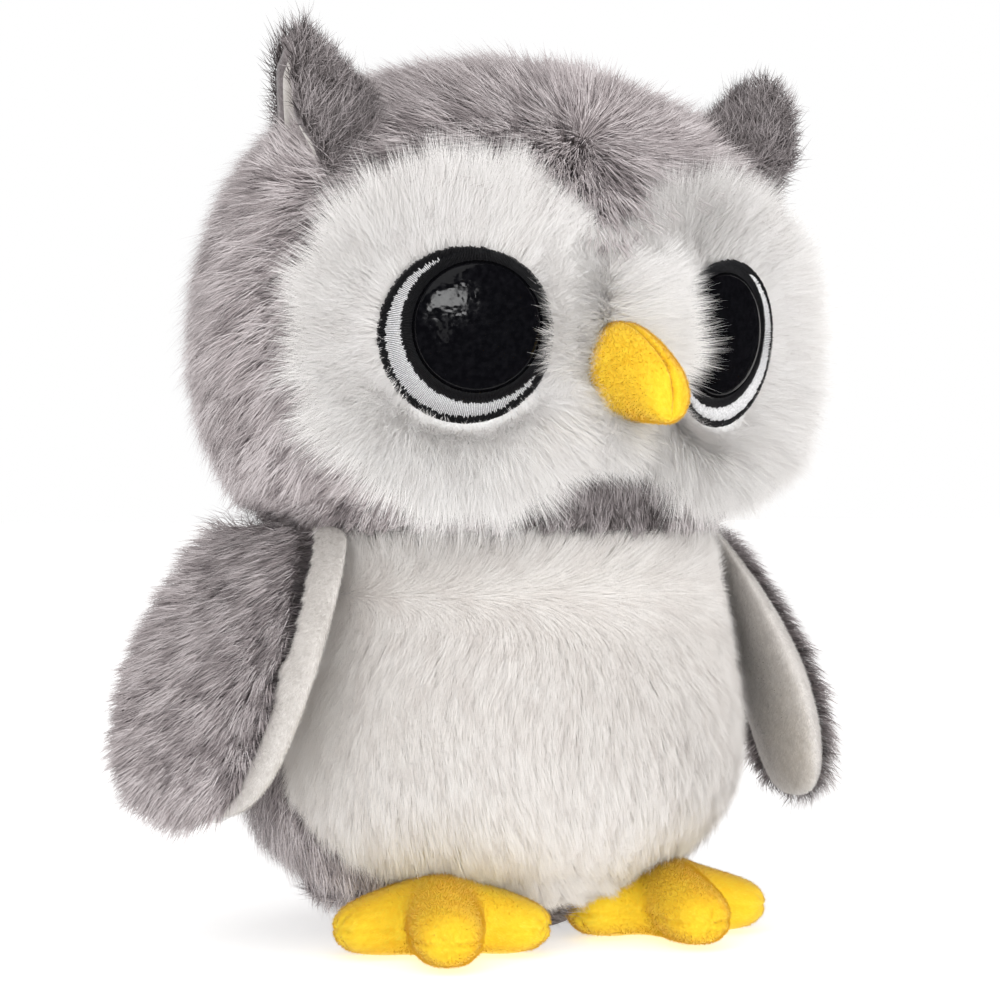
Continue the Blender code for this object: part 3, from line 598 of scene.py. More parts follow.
head_points, head_faces = stuffed_skin(HEAD_MIDDLE, inside_head, HEAD_FLOOR, HEAD_TOP, 8)
for face, axis in EYES.values():
    off = head_points - face
    height = off @ axis
    beside = np.linalg.norm(off - height[:, None] * axis, axis=1)
    dish = np.sqrt(np.maximum(EYE_DOME**2 - beside**2, 0.0)) - EYE_DOME - 0.0022
    sunk = (height > -0.03) & (beside < 0.027) & (height > dish)
    eased_in = 1 - ramped(beside, 0.0232, 0.027)
    head_points = head_points - np.where(sunk, (height - dish) * eased_in, 0.0)[:, None] * axis
head_up = cloth_normals(head_points, head_faces)

# How near each point is to an ear and to an eye, and the way from that eye
ear_roots = [head_place(side * EAR_TURN, 0.2020) for side in (-1, 1)]
by_ear = sum(hill(np.linalg.norm(head_points - root, axis=1), 0.0, 0.013) for root in ear_roots)
beside_eye = np.full(len(head_points), 1.0)
from_eye = np.zeros_like(head_points)
for face, axis in EYES.values():
    off = head_points - face
    flat = off - (off @ axis)[:, None] * axis
    away = np.where(off @ axis < -0.02, 1.0, np.linalg.norm(flat, axis=1))
    nearer = away < beside_eye
    from_eye[nearer] = unit(flat)[nearer]
    beside_eye = np.minimum(beside_eye, away)

# The mask's discs are puffed up round the eyes, and the cheeks stand out a little
off_middle = np.abs(head_points[:, 0])
puffed = hill(beside_eye, 0.036, 0.0065) * ramped(off_middle, 0.016, 0.032)
cheek = ramped(off_middle, 0.030, 0.058) * (1 - ramped(head_points[:, 1], -0.022, 0.004))
cheek = cheek * ramped(head_points[:, 2], 0.112, 0.125) * ramped(beside_eye, 0.025, 0.035)
head_points = head_points + head_up * (puffed * 0.0022 + cheek * 0.0030)[:, None]
head_skin = (head_points, head_faces)
head_x, head_y, head_z = head_points.T
off_middle = np.abs(head_x)

# The seam between hood and mask
in_mask = np.zeros(len(head_points), bool)
for side in (-1, 1):
    disc = (head_points - head_place(side * CHEEK_TURN, CHEEK_HEIGHT)) / (0.0398, 0.0398, 0.0378)
    in_mask |= np.linalg.norm(disc, axis=1) < 1.0
above_beak = (head_y < -0.02) & (head_z > 0.1765 + 0.68 * off_middle)
in_mask |= (off_middle < 0.0125) & (head_y < -0.03) & (head_z > 0.1275 - 0.4 * off_middle)
in_mask &= ~above_beak
mask_faces = in_mask[head_faces].sum(axis=1) > 1

head_low = ramped(0.155 - head_z, 0.0, 0.045)
in_front = 1 - ramped(head_y, -0.030, -0.012)
chin = ramped(0.124 - head_z, 0.0, 0.008) * in_front
whorled = ramped(np.linalg.norm(head_points - WHORL, axis=1), 0.004, 0.034)
brow = (1 - ramped(beside_eye, 0.043, 0.054)) * in_front * ramped(head_z, 0.150, 0.165)
head_comb = combed(
    head_points,
    nap=unit(unit(head_points - WHORL) + by_ear[:, None] * (0.0, 0.0, 1.6)),
    lift=40.0 - 2.0 * whorled - 4.0 * head_low - 16.0 * chin + 8.0 * by_ear,
    grow=1.0 - 0.10 * head_low - 0.50 * chin + 0.15 * by_ear - 0.40 * brow,
    thick=np.where(head_z < 0.1075, 0.0, 1.0),
)

grey_knit = knit_backing("grey_knit", (0.12, 0.105, 0.107), (0.26, 0.232, 0.236))
grey_shades = pile_shades(
    "grey_pile", ((0.18, 0.157, 0.160), (0.32, 0.282, 0.287), (0.47, 0.42, 0.425), (0.68, 0.63, 0.635))
)
# A darker copy of the grey pile's shades: painted shade for the chin and the ears, which stand in shadow.
painted_shade_shades = pile_shades(
    "shaded_pile", ((0.055, 0.046, 0.046), (0.11, 0.095, 0.095), (0.21, 0.186, 0.188), (0.38, 0.346, 0.35))
)
hood = cut_cloth("hood", head_skin, ~mask_faces)
sewn_piece("hood", hood, "head", grey_knit, ["head_cover"], thick=CLOTH_WALL)
face_x, face_y, face_z = head_points[head_faces].mean(axis=1).T
chin_faces = (face_z < 0.128) & (face_y < -0.02) & (np.abs(face_x) < 0.024)
front = (face_y < 0.010) & ~chin_faces
behind = face_y >= 0.010
for word, part, shades, seed, strands in (
    ("front_right", front & (face_x < 0), grey_shades, 11, 4.5e6),
    ("front_left", front & (face_x >= 0), grey_shades, 12, 4.5e6),
    ("back_right", behind & (face_x < 0), grey_shades, 13, 3.3e6),
    ("back_left", behind & (face_x >= 0), grey_shades, 14, 3.3e6),
    # The chin pile takes the darker shades as painted shade.
    ("chin", chin_faces, painted_shade_shades, 15, 4.5e6),
):
    brushed_pile(
        f"hood_pile_{word}",
        head_skin,
        part & ~mask_faces,
        head_comb,
        "head",
        "grey_plush",
        shades,
        seed,
        strands_per_square_metre=strands,
        length=0.0108,
        wander=1.15,
        stray=0.24,
        tuft_size=0.0040,
        gather=0.85,
    )


# The face mask
# White long-pile plush cut as two discs that meet over the beak, sewn into the hood. Its finer
# pile is brushed outward from each eye, stands up at the mask's edge and is cut short at the
# notch over the beak and at the wedge under it.

white_knit = knit_backing("white_knit", (0.62, 0.60, 0.59), (0.74, 0.72, 0.71))
white_shades = pile_shades(
    "white_pile",
    ((0.765, 0.74, 0.725), (0.805, 0.785, 0.77), (0.84, 0.825, 0.81), (0.875, 0.86, 0.85)),
    sheen=0.05,
)
middle_strip = head_y < -0.03
on_left = head_x > 0
bridge = (1 - ramped(off_middle, 0.0125, 0.0175)) * middle_strip
bridge = bridge * ramped(head_z, 0.140, 0.150) * (1 - ramped(head_z, 0.168, 0.180))
notch = hill(head_x, 0.0, 0.022) * middle_strip * ramped(head_z, 0.164, 0.176)
wedge = hill(head_x, 0.0, 0.016) * middle_strip * (1 - ramped(head_z, 0.122, 0.134))
rim = 1 - ramped(beside_eye, 0.0215, 0.030)
edge = ramped(beside_eye, 0.032, 0.042) * (1 - notch - wedge)
underneath = 1 - ramped(head_z, 0.114, 0.132)
sideways = np.zeros_like(head_points)
sideways[:, 0] = np.sign(head_x + 1e-6)
mask_nap = unit(from_eye * (1 - bridge)[:, None] + sideways * bridge[:, None] * 1.2)
hang = (1 - ramped(head_z, 0.112, 0.126))[:, None]
mask_grow = 1.0 - 0.45 * rim * (1 - bridge) + 0.36 * edge + bridge * np.where(on_left, 0.15, -0.25)
mask_comb = combed(
    head_points,
    nap=unit(mask_nap + hang * (head_outward(0.0) * 0.3 + (0.0, 0.0, -0.4))),
    lift=38.0 + 8.0 * rim + 29.0 * edge * (1 - underneath) + 2.0 * underneath + 12.0 * bridge * on_left,
    grow=mask_grow * (1 - 0.55 * notch - 0.60 * wedge),
    thick=ramped(beside_eye, 0.0203, 0.0213),
)
mask = cut_cloth("mask_cloth", head_skin, mask_faces)
sewn_piece(
    "mask_cloth", mask, "head", white_knit, ["face_mask"], thick=CLOTH_WALL
)
for word, part, seed in (("right", face_x < 0, 21), ("left", face_x >= 0, 22)):
    brushed_pile(
        f"mask_pile_{word}",
        head_skin,
        part & mask_faces,
        mask_comb,
        "head",
        "white_plush",
        white_shades,
        seed,
        strands_per_square_metre=2.8e7,
        length=0.0125,
        width=0.00014,
        wander=0.85,
        stray=0.26,
        tuft_size=0.0026,
        gather=0.6,
        frizz=0.26,
        soft=0.7,
        joints=2,
    )


# The eyes
# Each is a round black patch, slightly domed, with satin stitch round its rim and round the
# pupil, a white satin-stitch crescent on its outer side and a pupil of glossy black film.

THREAD_WIDTH = 0.00038
RIM_RADIUS = 0.0198
PUPIL_RADIUS = 0.0162
PUPIL_SHIFT = 0.0034


def thread_tool():
    """The tree that lays satin stitch: one thread for each pair of needle holes."""
    inputs = (
        ("Geometry", ("Needle Holes",)),
        ("Float", ("Thread Width", "Thread Height")),
        ("Material", ("Thread",)),
    )
    tree, bench, given = node_tool("satin_stitch", "Stitches", inputs)
    sizes = {"Size X": 1.0, "Size Y": 1.0, "Vertices X": 6, "Vertices Y": 5}
    thread = bench.lay("GeometryNodeMeshGrid", {}, sizes)
    spot = bench.lay("GeometryNodeInputPosition")
    along = bench.lay("ShaderNodeSeparateXYZ", {}, {0: spot}, "X")
    across = along.other("Y")
    crown = bench.lay("ShaderNodeMath", {"operation": "COSINE"}, {0: across * math.pi})
    arch = 1.0 - (along * along * 4.0) ** 2.0
    bent = bench.lay("ShaderNodeCombineXYZ", {}, {"X": along, "Y": across, "Z": crown * arch - 0.4})
    thread = bench.lay("GeometryNodeSetPosition", {}, {"Geometry": thread, "Position": bent})
    span, up = (
        bench.lay("GeometryNodeInputNamedAttribute", {"data_type": "FLOAT_VECTOR"}, {"Name": name}, "Attribute")
        for name in ("span", "up")
    )
    axes = {"primary_axis": "Z", "secondary_axis": "X"}
    turn = bench.lay("FunctionNodeAxesToRotation", axes, {"Primary Axis": up, "Secondary Axis": span})
    long = bench.lay("ShaderNodeVectorMath", {"operation": "LENGTH"}, {0: span}, "Value")
    sockets = {"X": long, "Y": given.other("Thread Width"), "Z": given.other("Thread Height")}
    size = bench.lay("ShaderNodeCombineXYZ", {}, sockets)
    sockets = {"Points": given.other("Needle Holes"), "Instance": thread, "Rotation": turn, "Scale": size}
    stitches = bench.lay("GeometryNodeInstanceOnPoints", {}, sockets)
    stitches = bench.lay("GeometryNodeRealizeInstances", {}, {"Geometry": stitches})
    sockets = {"Geometry": stitches, "Material": given.other("Thread")}
    stitches = bench.lay("GeometryNodeSetMaterial", {}, sockets)
    stitches = bench.lay("GeometryNodeSetShadeSmooth", {}, {0: stitches})
    bench.lay("NodeGroupOutput", {}, {"Stitches": stitches})
    return tree


THREADS = thread_tool()


def satin_stitch(name, starts, ends, ups, slot, material, width, height, nodes=()):
    """Threads laid side by side from each start to its end."""
    mesh = bpy.data.meshes.new(name)
    mesh.from_pydata(((starts + ends) / 2).tolist(), [], [])
    for word, array in (("span", ends - starts), ("up", ups)):
        attribute = mesh.attributes.new(word, "FLOAT_VECTOR", "POINT")
        attribute.data.foreach_set("vector", array.astype(np.float32).ravel())
    made = worked(name, mesh, THREADS, {"thread_width": width, "thread_height": height, "thread": material})
    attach(made, "head")
    if nodes:
        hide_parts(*nodes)


def thread_finish(name, dark_colour, light_colour, roughness):
    """Shiny embroidery thread, twisted: its raised twist glints in short dashes, and its colour runs lighter
    and darker along the twist as painted glint and shade.
    """

    def pattern(bench, place):
        twist = noise(bench, place, 2600.0, 2.0)
        return {
            "Base Color": shaded(bench, twist, 0.35, dark_colour, 0.65, light_colour),
            "Normal": raised(bench, twist, 0.00006, 0.7),
        }

    return new_finish(name, {"Roughness": roughness}, pattern)


def felt_pattern(bench, place):
    """Matted black fibres."""
    fibres = noise(bench, place, 1800.0, 3.0)
    return {
        "Base Color": shaded(bench, fibres, 0.3, (0.003, 0.003, 0.004), 0.8, (0.014, 0.014, 0.016)),
        "Normal": raised(bench, fibres, 0.0001, 0.8),
    }


def film_pattern(bench, place):
    """Black film, faintly creased over the felt and scuffed here and there."""
    creases = noise(bench, place, 130.0, 3.0, 0.6)
    scuffs = noise(bench, place, 700.0, 4.0)
    spread = {"Value": scuffs, "From Min": 0.4, "From Max": 0.8, "To Min": 0.05, "To Max": 0.22}
    return {
        "Base Color": shaded(bench, scuffs, 0.4, (0.0022, 0.0022, 0.003), 0.7, (0.005, 0.005, 0.0065)),
        "Roughness": bench.lay("ShaderNodeMapRange", {}, spread),
        "Normal": raised(bench, creases, 0.0012, 0.24),
    }


black_thread = thread_finish("black_thread", (0.004, 0.004, 0.005), (0.016, 0.016, 0.019), 0.5)
white_thread = thread_finish("white_thread", (0.62, 0.62, 0.63), (0.95, 0.95, 0.96), 0.34)
black_felt = new_finish("black_felt", {"Roughness": 0.9}, felt_pattern)
gloss_film = new_finish("gloss_film", {"Specular IOR Level": 0.22}, film_pattern)


def dome_height(u, v):
    """How far the eye's dome has fallen, this far from its middle."""
    return math.sqrt(EYE_DOME**2 - u * u - v * v) - EYE_DOME


def domed_disc(name, middle, turn, off, radius, low, high, edge):
    """A round closed layer of the eye with its rim turned down: a disc lifted on the eye's dome."""
    rings, corners = 14, 64
    points = []
    faces = []
    for i in range(rings + 1):
        share = i / rings
        lift = low + (high - low) * (1 - share ** (1 / edge)) ** edge if share < 1 else low
        for k in range(corners if i else 1):
            angle = math.tau * k / corners
            u = off[0] + radius * share * math.cos(angle)
            v = off[1] + radius * share * math.sin(angle)
            points.append((u, v, dome_height(u, v) + lift))
    last = len(points) - corners
    points.append((off[0], off[1], dome_height(off[0], off[1]) + low - 0.0004))
    for k in range(corners):
        after = (k + 1) % corners
        faces.append((0, 1 + k, 1 + after))
        faces.append((last + after, last + k, len(points) - 1))
        for i in range(1, rings):
            inner = 1 + (i - 1) * corners
            outer = inner + corners
            faces.append((inner + k, outer + k, outer + after, inner + after))
    mesh = bpy.data.meshes.new(name)
    mesh.from_pydata([Vector(middle) + turn @ Vector(p) for p in points], [], faces)
    mesh.shade_smooth()
    return mesh


def spokes(count):
    """Even directions all round the eye."""
    angles = np.linspace(0.0, math.tau, count, endpoint=False)
    return np.column_stack((np.cos(angles), np.sin(angles)))


for side, word in ((-1, "right"), (1, "left")):
    face, axis = EYES[word]
    turn = Vector(axis).to_track_quat("Z", "Y").to_matrix()
    matrix = np.array(turn)
    upward = math.radians(41.0)
    off = np.array((-side * PUPIL_SHIFT * math.cos(upward), PUPIL_SHIFT * math.sin(upward)))
    luck = np.random.default_rng(40 + side)

    def on_dome(flat, lift):
        """Points this far over the eye's dome, and the way up there."""
        high = np.sqrt(EYE_DOME**2 - (flat**2).sum(axis=1)) - EYE_DOME + lift
        local = np.column_stack((flat, high))
        up = unit(np.column_stack((flat, high + EYE_DOME)))
        return face + local @ matrix.T, up @ matrix.T

    patch = domed_disc(f"eye_felt_{word}", face, turn, (0.0, 0.0), 0.0212, -0.0010, 0.0, 0.25)
    sewn_piece(f"eye_felt_{word}", patch, "head", black_felt, [f"eye_patch_{word}"])
    pupil = domed_disc(f"pupil_film_{word}", face, turn, tuple(off), PUPIL_RADIUS, 0.0002, 0.0011, 0.35)
    sewn_piece(f"pupil_film_{word}", pupil, "head", gloss_film, [f"pupil_{word}"])

    way = spokes(350)
    jag = luck.uniform(-0.0002, 0.0003, (len(way), 2))
    starts, ups = on_dome(way * (RIM_RADIUS + jag[:, :1]), 0.0003)
    ends, _ = on_dome(way * (0.0217 + jag[:, 1:]), -0.0002)
    stitching = ("black_stitching", black_thread, THREAD_WIDTH)
    satin_stitch(f"eye_rim_{word}", starts, ends, ups, *stitching, 0.0008)

    way = spokes(280)
    jag = luck.uniform(-0.0002, 0.0002, (len(way), 2))
    starts, ups = on_dome(off + way * (0.0158 + jag[:, :1] / 2), 0.0003)
    ends, _ = on_dome(off + way * (0.0189 + jag[:, 1:]), 0.0001)
    satin_stitch(f"pupil_ring_{word}", starts, ends, ups, *stitching, 0.0007)

    outer = 0.0200 * spokes(262)
    way = unit(outer - off)
    wide = np.linalg.norm(outer - off, axis=1) - 0.0186
    outer, way = outer[wide > 0.0005], way[wide > 0.0005]
    jag = luck.uniform(-0.0004, 0.0005, (len(outer), 2))
    starts, ups = on_dome(off + way * (0.0186 + jag[:, :1]), 0.0003)
    ends, _ = on_dome(outer + way * jag[:, 1:], 0.0002)
    stitching = ("white_stitching", white_thread, 0.00036)
    satin_stitch(
        f"crescent_stitch_{word}", starts, ends, ups, *stitching, 0.0009, [f"eye_crescent_{word}"]
    )


# The beak
# Yellow velboa, a short dense pile, sewn as a small stuffed cone with a blunt tip that hooks down.
# It is set between the eyes, where the mask's discs meet.

BEAK_LENGTH = 0.0265
BEAK_WIDTH = 0.0175
BEAK_HEIGHT = 0.0262
BEAK_HOOK = 0.0085


def limb_skin(name, rings, across, thick, level):
    """A stuffed limb that swells and tapers: rings of (middle, half across, half thick), rounded."""
    corners = 8
    shape = bmesh.new()
    loops = []
    drawn_in = (2 + math.cos(math.tau / corners)) / 3
    for middle, half_across, half_thick in rings:
        loop = []
        for i in range(corners):
            angle = math.tau * i / corners
            beside = across * half_across * math.cos(angle) + thick * half_thick * math.sin(angle)
            loop.append(shape.verts.new(middle + beside / drawn_in))
        loops.append(loop)
    for near, far in zip(loops, loops[1:]):
        for i in range(corners):
            after = (i + 1) % corners
            shape.faces.new((near[i], near[after], far[after], far[i]))
    shape.faces.new(loops[0])
    shape.faces.new(loops[-1])
    bmesh.ops.recalc_face_normals(shape, faces=shape.faces)
    mesh = bpy.data.meshes.new(name)
    shape.to_mesh(mesh)
    shape.free()
    made = put(name, mesh)
    subdivision = made.modifiers.new("round", "SUBSURF")
    subdivision.levels = level
    subdivision.render_levels = level
    mesh = applied(made).data
    bpy.data.objects.remove(made)
    return mesh


def cloth_arrays(mesh):
    """A mesh's points and its faces as triangles."""
    mesh.calc_loop_triangles()
    points = np.zeros(len(mesh.vertices) * 3)
    mesh.vertices.foreach_get("co", points)
    faces = np.zeros(len(mesh.loop_triangles) * 3, np.int32)
    mesh.loop_triangles.foreach_get("vertices", faces)
    return points.reshape(-1, 3), faces.reshape(-1, 3)


def velboa(name, dark_colour, light_colour):
    """Short brushed pile seen from close by: lighter and darker in patches where the nap lies one way or the
    other, a painted sheen for how the nap catches the light.
    """

    def pattern(bench, place):
        brushed = noise(bench, place, 140.0, 3.0)
        hairs = noise(bench, place, 1500.0, 3.0)
        # painted sheen: lighter and darker patches for the way the nap lies
        painted_sheen = brushed * 0.6 + hairs * 0.4
        return {
            "Base Color": shaded(bench, painted_sheen, 0.35, dark_colour, 0.65, light_colour),
            "Normal": raised(bench, hairs + brushed * 0.5, 0.0003, 0.5),
        }

    return new_finish(name, {"Roughness": 0.85, "Sheen Weight": 0.35, "Sheen Roughness": 0.4}, pattern)


yellow_velboa = velboa("yellow_velboa", (0.96, 0.62, 0.016), (0.98, 0.72, 0.03))
yellow_shades = pile_shades(
    "yellow_fuzz",
    ((0.96, 0.63, 0.018), (0.97, 0.69, 0.026), (0.98, 0.735, 0.036), (0.99, 0.79, 0.065)),
    sheen=0.15,
)
FUZZ = {
    "strands_per_square_metre": 1.1e7,
    "length": 0.0009,
    "width": 0.00016,
    "wander": 1.2,
    "stray": 0.4,
    "tuft_size": 0.0014,
    "gather": 0.2,
    "frizz": 0.4,
    "soft": 0.88,
    "joints": 2,
}

beak_root = Vector(head_place(0.0, 0.1465))
rings = []
# Along the beak, and there its width, its height and how far it hooks down, each as a share
for along, wide, tall, drop in (
    (-0.30, 1.00, 1.00, 0.00),
    (0.15, 1.00, 0.98, 0.05),
    (0.55, 0.88, 0.76, 0.42),
    (0.95, 0.70, 0.52, 1.00),
):
    middle = beak_root + Vector((0.0, -along * BEAK_LENGTH, -drop * BEAK_HOOK))
    rings.append((middle, wide * BEAK_WIDTH / 2 - 0.0004, tall * BEAK_HEIGHT / 2 - 0.0004))
beak = limb_skin("beak", rings, Vector((1.0, 0.0, 0.0)), Vector((0.0, 0.0, 1.0)), 5)
points, faces = cloth_arrays(beak)
up = cloth_normals(points, faces)
seam = hill(points[:, 0], 0.0, 0.0007) * (points[:, 1] < -0.058) * ramped(up[:, 2], -0.6, -0.2)
points = points - up * (seam * 0.0011)[:, None]
beak = cut_cloth("beak", (points, faces))
sewn_piece("beak", beak, "head", yellow_velboa, ["beak_cover"])
comb = combed(points, nap=(0.0, -0.9, -0.45), lift=40.0)
brushed_pile("beak_fuzz", (points, faces), None, comb, "head", "yellow_velboa", yellow_shades, 31, **FUZZ)


# The ears
# Each is a folded leaf of grey plush, sewn upright into the hood and open to the side, lined with
# white velboa that shows along the fold. The left one is more closed and a little lower.

EAR_DEPTH = 0.0168
EAR_WIDTH = 0.0112
EAR_LINING_INSET = 0.0036
lining_velboa = velboa("lining_velboa", (0.56, 0.53, 0.50), (0.72, 0.69, 0.66))
lining_shades = pile_shades(
    "lining_fuzz", ((0.58, 0.55, 0.52), (0.66, 0.63, 0.60), (0.74, 0.71, 0.68), (0.82, 0.79, 0.76)), sheen=0.3
)


def ear_leaf(side, inset, facing_out):
    """The leaf's cloth as points and faces, and how it is turned."""
    columns, rows = 28, 20
    heights = np.sin(np.linspace(0.0, math.pi / 2, rows + 1))
    spans = np.interp(heights, (0.0, 0.42, 0.80, 1.0), (0.78, 1.00, 0.98, 0.84)) * 1.02
    folds = 0.45 + 0.55 * np.sqrt(np.clip(1 - heights**3.0, 0.0, 1.0))
    shut, tall = (0.45, 0.0340) if side < 0 else (0.14, 0.0305)
    closings = shut + (1 - shut) * np.sqrt(np.clip(1 - heights**2.6, 0.0, 1.0))
    closings = closings * (0.62 + 0.38 * ramped(heights, 0.0, 0.32))
    points = []
    for height, span, fold, closing in zip(heights, spans, folds, closings):
        deep = fold * EAR_DEPTH - inset
        wide = max(closing * EAR_WIDTH - inset, 0.0005)
        for i in range(columns + 1):
            angle = (i / columns * 2 - 1.0) * span * 0.062 / 0.068 * 2
            slope = 1 - 0.42 * height * max(math.cos(angle), 0.0)
            up = height * (tall + 0.004 - inset) * slope - 0.013
            sewn_in = min(height / 0.32, 1.0) if math.cos(angle) < 0 else 1.0
            points.append((-side * deep * math.cos(angle) * sewn_in, wide * math.sin(angle), up))
    faces = []
    for row in range(rows):
        for i in range(columns):
            a = row * (columns + 1) + i
            b = a + columns + 1
            if side > 0:
                faces += [(a, a + 1, b + 1), (a, b + 1, b)]
            else:
                faces += [(a, b + 1, a + 1), (a, b, b + 1)]
    twist = Matrix.Rotation(side * math.radians(13.0), 3, "Z")
    matrix = np.array(twist @ Matrix.Rotation(side * math.radians(8.0), 3, "Y"))
    place = head_place(side * EAR_TURN, 0.2060) + head_outward(side * EAR_TURN) * 0.0060
    points = np.array(points) @ matrix.T + place
    faces = np.array(faces)
    bulge = ((points - points.mean(axis=0)) * cloth_normals(points, faces)).sum()
    if (bulge > 0) != facing_out:
        faces = faces[:, ::-1]
    return points, faces, matrix


for side, word in ((-1, "right"), (1, "left")):
    points, faces, matrix = ear_leaf(side, -0.0002, True)
    ear = cut_cloth(f"ear_{word}", (points, faces))
    sewn_piece(f"ear_{word}", ear, "head", grey_knit, [f"ear_outer_{word}"], 0.003)
    # The ear pile takes the darker grey shades as painted shade.
    brushed_pile(
        f"ear_pile_{word}",
        (points, faces),
        None,
        combed(points, nap=matrix @ np.array((0.0, 0.0, 1.0)), lift=46.0),
        "head",
        "grey_plush",
        painted_shade_shades,
        41 + side,
        strands_per_square_metre=8.0e6,
        length=0.0058,
        width=0.00020,
        wander=1.6,
        stray=0.75,
        tuft_size=0.0022,
        frizz=0.5,
        soft=0.35,
    )
    points, faces, matrix = ear_leaf(side, EAR_LINING_INSET, False)
    lining = cut_cloth(f"ear_velboa_{word}", (points, faces))
    nodes = [f"ear_lining_{word}"]
    sewn_piece(f"ear_velboa_{word}", lining, "head", lining_velboa, nodes, 0.0014)


# The body
# Grey plush back and white plush belly, sewn together down the sides, stuffed over a bag of
# pellets and closed below by a flat disc. The pile is brushed down; at the belly's top it turns
# sideways and up, as it is drawn into the neck seam.

BODY_MIDDLE = np.array((0.0, 0.004, 0.050))
BODY_FLOOR = 0.0024
BODY_WIDEST_HEIGHT = 0.047


def inside_body(points):
    """Whether each point lies in the stuffed body, which leans back towards its foot."""
    squareness = 2.1
    height = np.clip(points[:, 2], 0.0, NECK_HEIGHT)
    reach = np.where(
        height > BODY_WIDEST_HEIGHT,
        0.059 / (1 - (0.118 / 0.136) ** squareness) ** (1 / squareness),
        (BODY_WIDEST_HEIGHT - BODY_FLOOR) / (1 - (0.025 / 0.068) ** squareness) ** (1 / squareness),
    )
    share = 1 - (np.abs(height - BODY_WIDEST_HEIGHT) / reach) ** squareness
    wide = 0.068 * np.maximum(share, 1e-4) ** (1 / squareness)
    back = points[:, 1] - 0.011 * ((NECK_HEIGHT - height) / NECK_HEIGHT) ** 2
    oval = (points[:, 0] / wide) ** 2 + (back / (wide * depth_share(height))) ** 2 < 1
    return oval & (points[:, 2] > BODY_FLOOR) & (points[:, 2] < 0.1058)


body_points, body_faces = stuffed_skin(BODY_MIDDLE, inside_body, 0.0022, 0.1056, 4)
fuller = 1 + 0.045 * hill(body_points[:, 2], 0.036, 0.030)
spread = np.column_stack((fuller, fuller, np.ones(len(fuller))))
body_points = (body_points - (0.0, 0.004, 0.0)) * spread + (0.0, 0.004, 0.0)
body_skin = (body_points, body_faces)
body_x, _, body_z = body_points.T
middle_x, middle_y, middle_z = body_points[body_faces].mean(axis=1).T
belly_radius = 0.065
belly_faces = (middle_y + 0.070) ** 2 + (middle_z - 0.064) ** 2 < belly_radius**2

body_low = 1 - ramped(body_z, 0.004, 0.030)
body_top = ramped(body_z, 0.088, 0.103)
body_nap = np.tile((0.06, 0.0, -1.0), (len(body_points), 1))
body_nap = body_nap + body_low[:, None] * unit(body_points * (1, 1, 0))
body_nap[:, 0] += 0.35 * np.sin(body_z * 75.0 + body_x * 40.0)
body_thick = ramped(body_z, 0.0030, 0.0060) * (1 - ramped(body_z, 0.1048, 0.1056))
back_comb = combed(
    body_points,
    nap=body_nap,
    lift=34.0 - 10.0 * body_low + 26.0 * body_top,
    grow=1.0 - 0.25 * body_low + 0.20 * body_top,
    thick=body_thick,
)
belly_turn = math.pi * ramped(body_z, 0.080, 0.103)
belly_nap = body_nap * np.abs(np.cos(belly_turn))[:, None] * (1, 1, 0)
belly_nap += np.column_stack((np.sin(belly_turn), np.zeros(len(belly_turn)), -np.cos(belly_turn)))
belly_comb = combed(
    body_points,
    nap=belly_nap,
    lift=26.0 - 3.0 * body_low + 22.0 * ramped(body_z, 0.088, 0.102),
    grow=1.0 - 0.25 * body_low + 0.25 * ramped(body_z, 0.094, 0.102),
    thick=body_thick,
)

back = cut_cloth("body_back", body_skin, ~belly_faces)
sewn_piece("body_back", back, "body", grey_knit, ["body_back_panel"], CLOTH_WALL)
cream_shades = pile_shades(
    "cream_pile",
    ((0.79, 0.75, 0.72), (0.83, 0.795, 0.765), (0.865, 0.835, 0.805), (0.89, 0.865, 0.84)),
    sheen=0.05,
)
belly = cut_cloth("belly", body_skin, belly_faces)
sewn_piece("belly", belly, "body", white_knit, ["belly_panel"], CLOTH_WALL)
for word, part, seed in (("right", middle_x < 0, 51), ("left", middle_x >= 0, 52)):
    brushed_pile(
        f"back_pile_{word}",
        body_skin,
        part & ~belly_faces,
        back_comb,
        "body",
        "grey_plush",
        grey_shades,
        seed,
        strands_per_square_metre=2.2e6,
        length=0.0105,
        width=0.00027,
    )
    brushed_pile(
        f"belly_pile_{word}",
        body_skin,
        part & belly_faces,
        belly_comb,
        "body",
        "white_plush",
        cream_shades,
        seed + 5,
        strands_per_square_metre=1.7e7,
        length=0.0080,
        width=0.00015,
        wander=0.6,
        tuft_size=0.0030,
        gather=0.5,
        frizz=0.15,
        soft=0.75,
        joints=2,
    )


# The base
# A flat disc of grey plush that closes the body below, sewn in all round. The owl sits on it.

BASE_MIDDLE = 0.011
corners = 72
points = [(0.0, BASE_MIDDLE, 0.0), (0.0, BASE_MIDDLE, 0.002)]
faces = []
rounded_edge = ((0.0238, 0.0), (0.0248, 0.0004), (0.0250, 0.0010), (0.0248, 0.0016), (0.0238, 0.0020))
for radius, height in rounded_edge:
    for k in range(corners):
        angle = math.tau * k / corners
        points.append((radius * math.cos(angle), BASE_MIDDLE + radius * 0.919 * math.sin(angle), height))
for k in range(corners):
    after = (k + 1) % corners
    faces.append((0, 2 + after, 2 + k))
    faces.append((1, 2 + 4 * corners + k, 2 + 4 * corners + after))
    for i in range(4):
        low = 2 + i * corners
        faces.append((low + k, low + after, low + corners + after, low + corners + k))
base = bpy.data.meshes.new("base")
base.from_pydata(points, [], faces)
base.shade_smooth()
sewn_piece("base", base, "body", grey_knit, ["base_panel"])


# The wings
# Each is a padded flap, grey plush on its outer side, with a white velboa lining that wraps round
# its front edge, sewn to the body along the top. The left one hangs closer to the body.

WING_LENGTH = 0.0770
WING_CHORD = 0.0330
WING_THICKNESS = 0.007
WING_BOW = 0.004
WING_WALL = 0.001
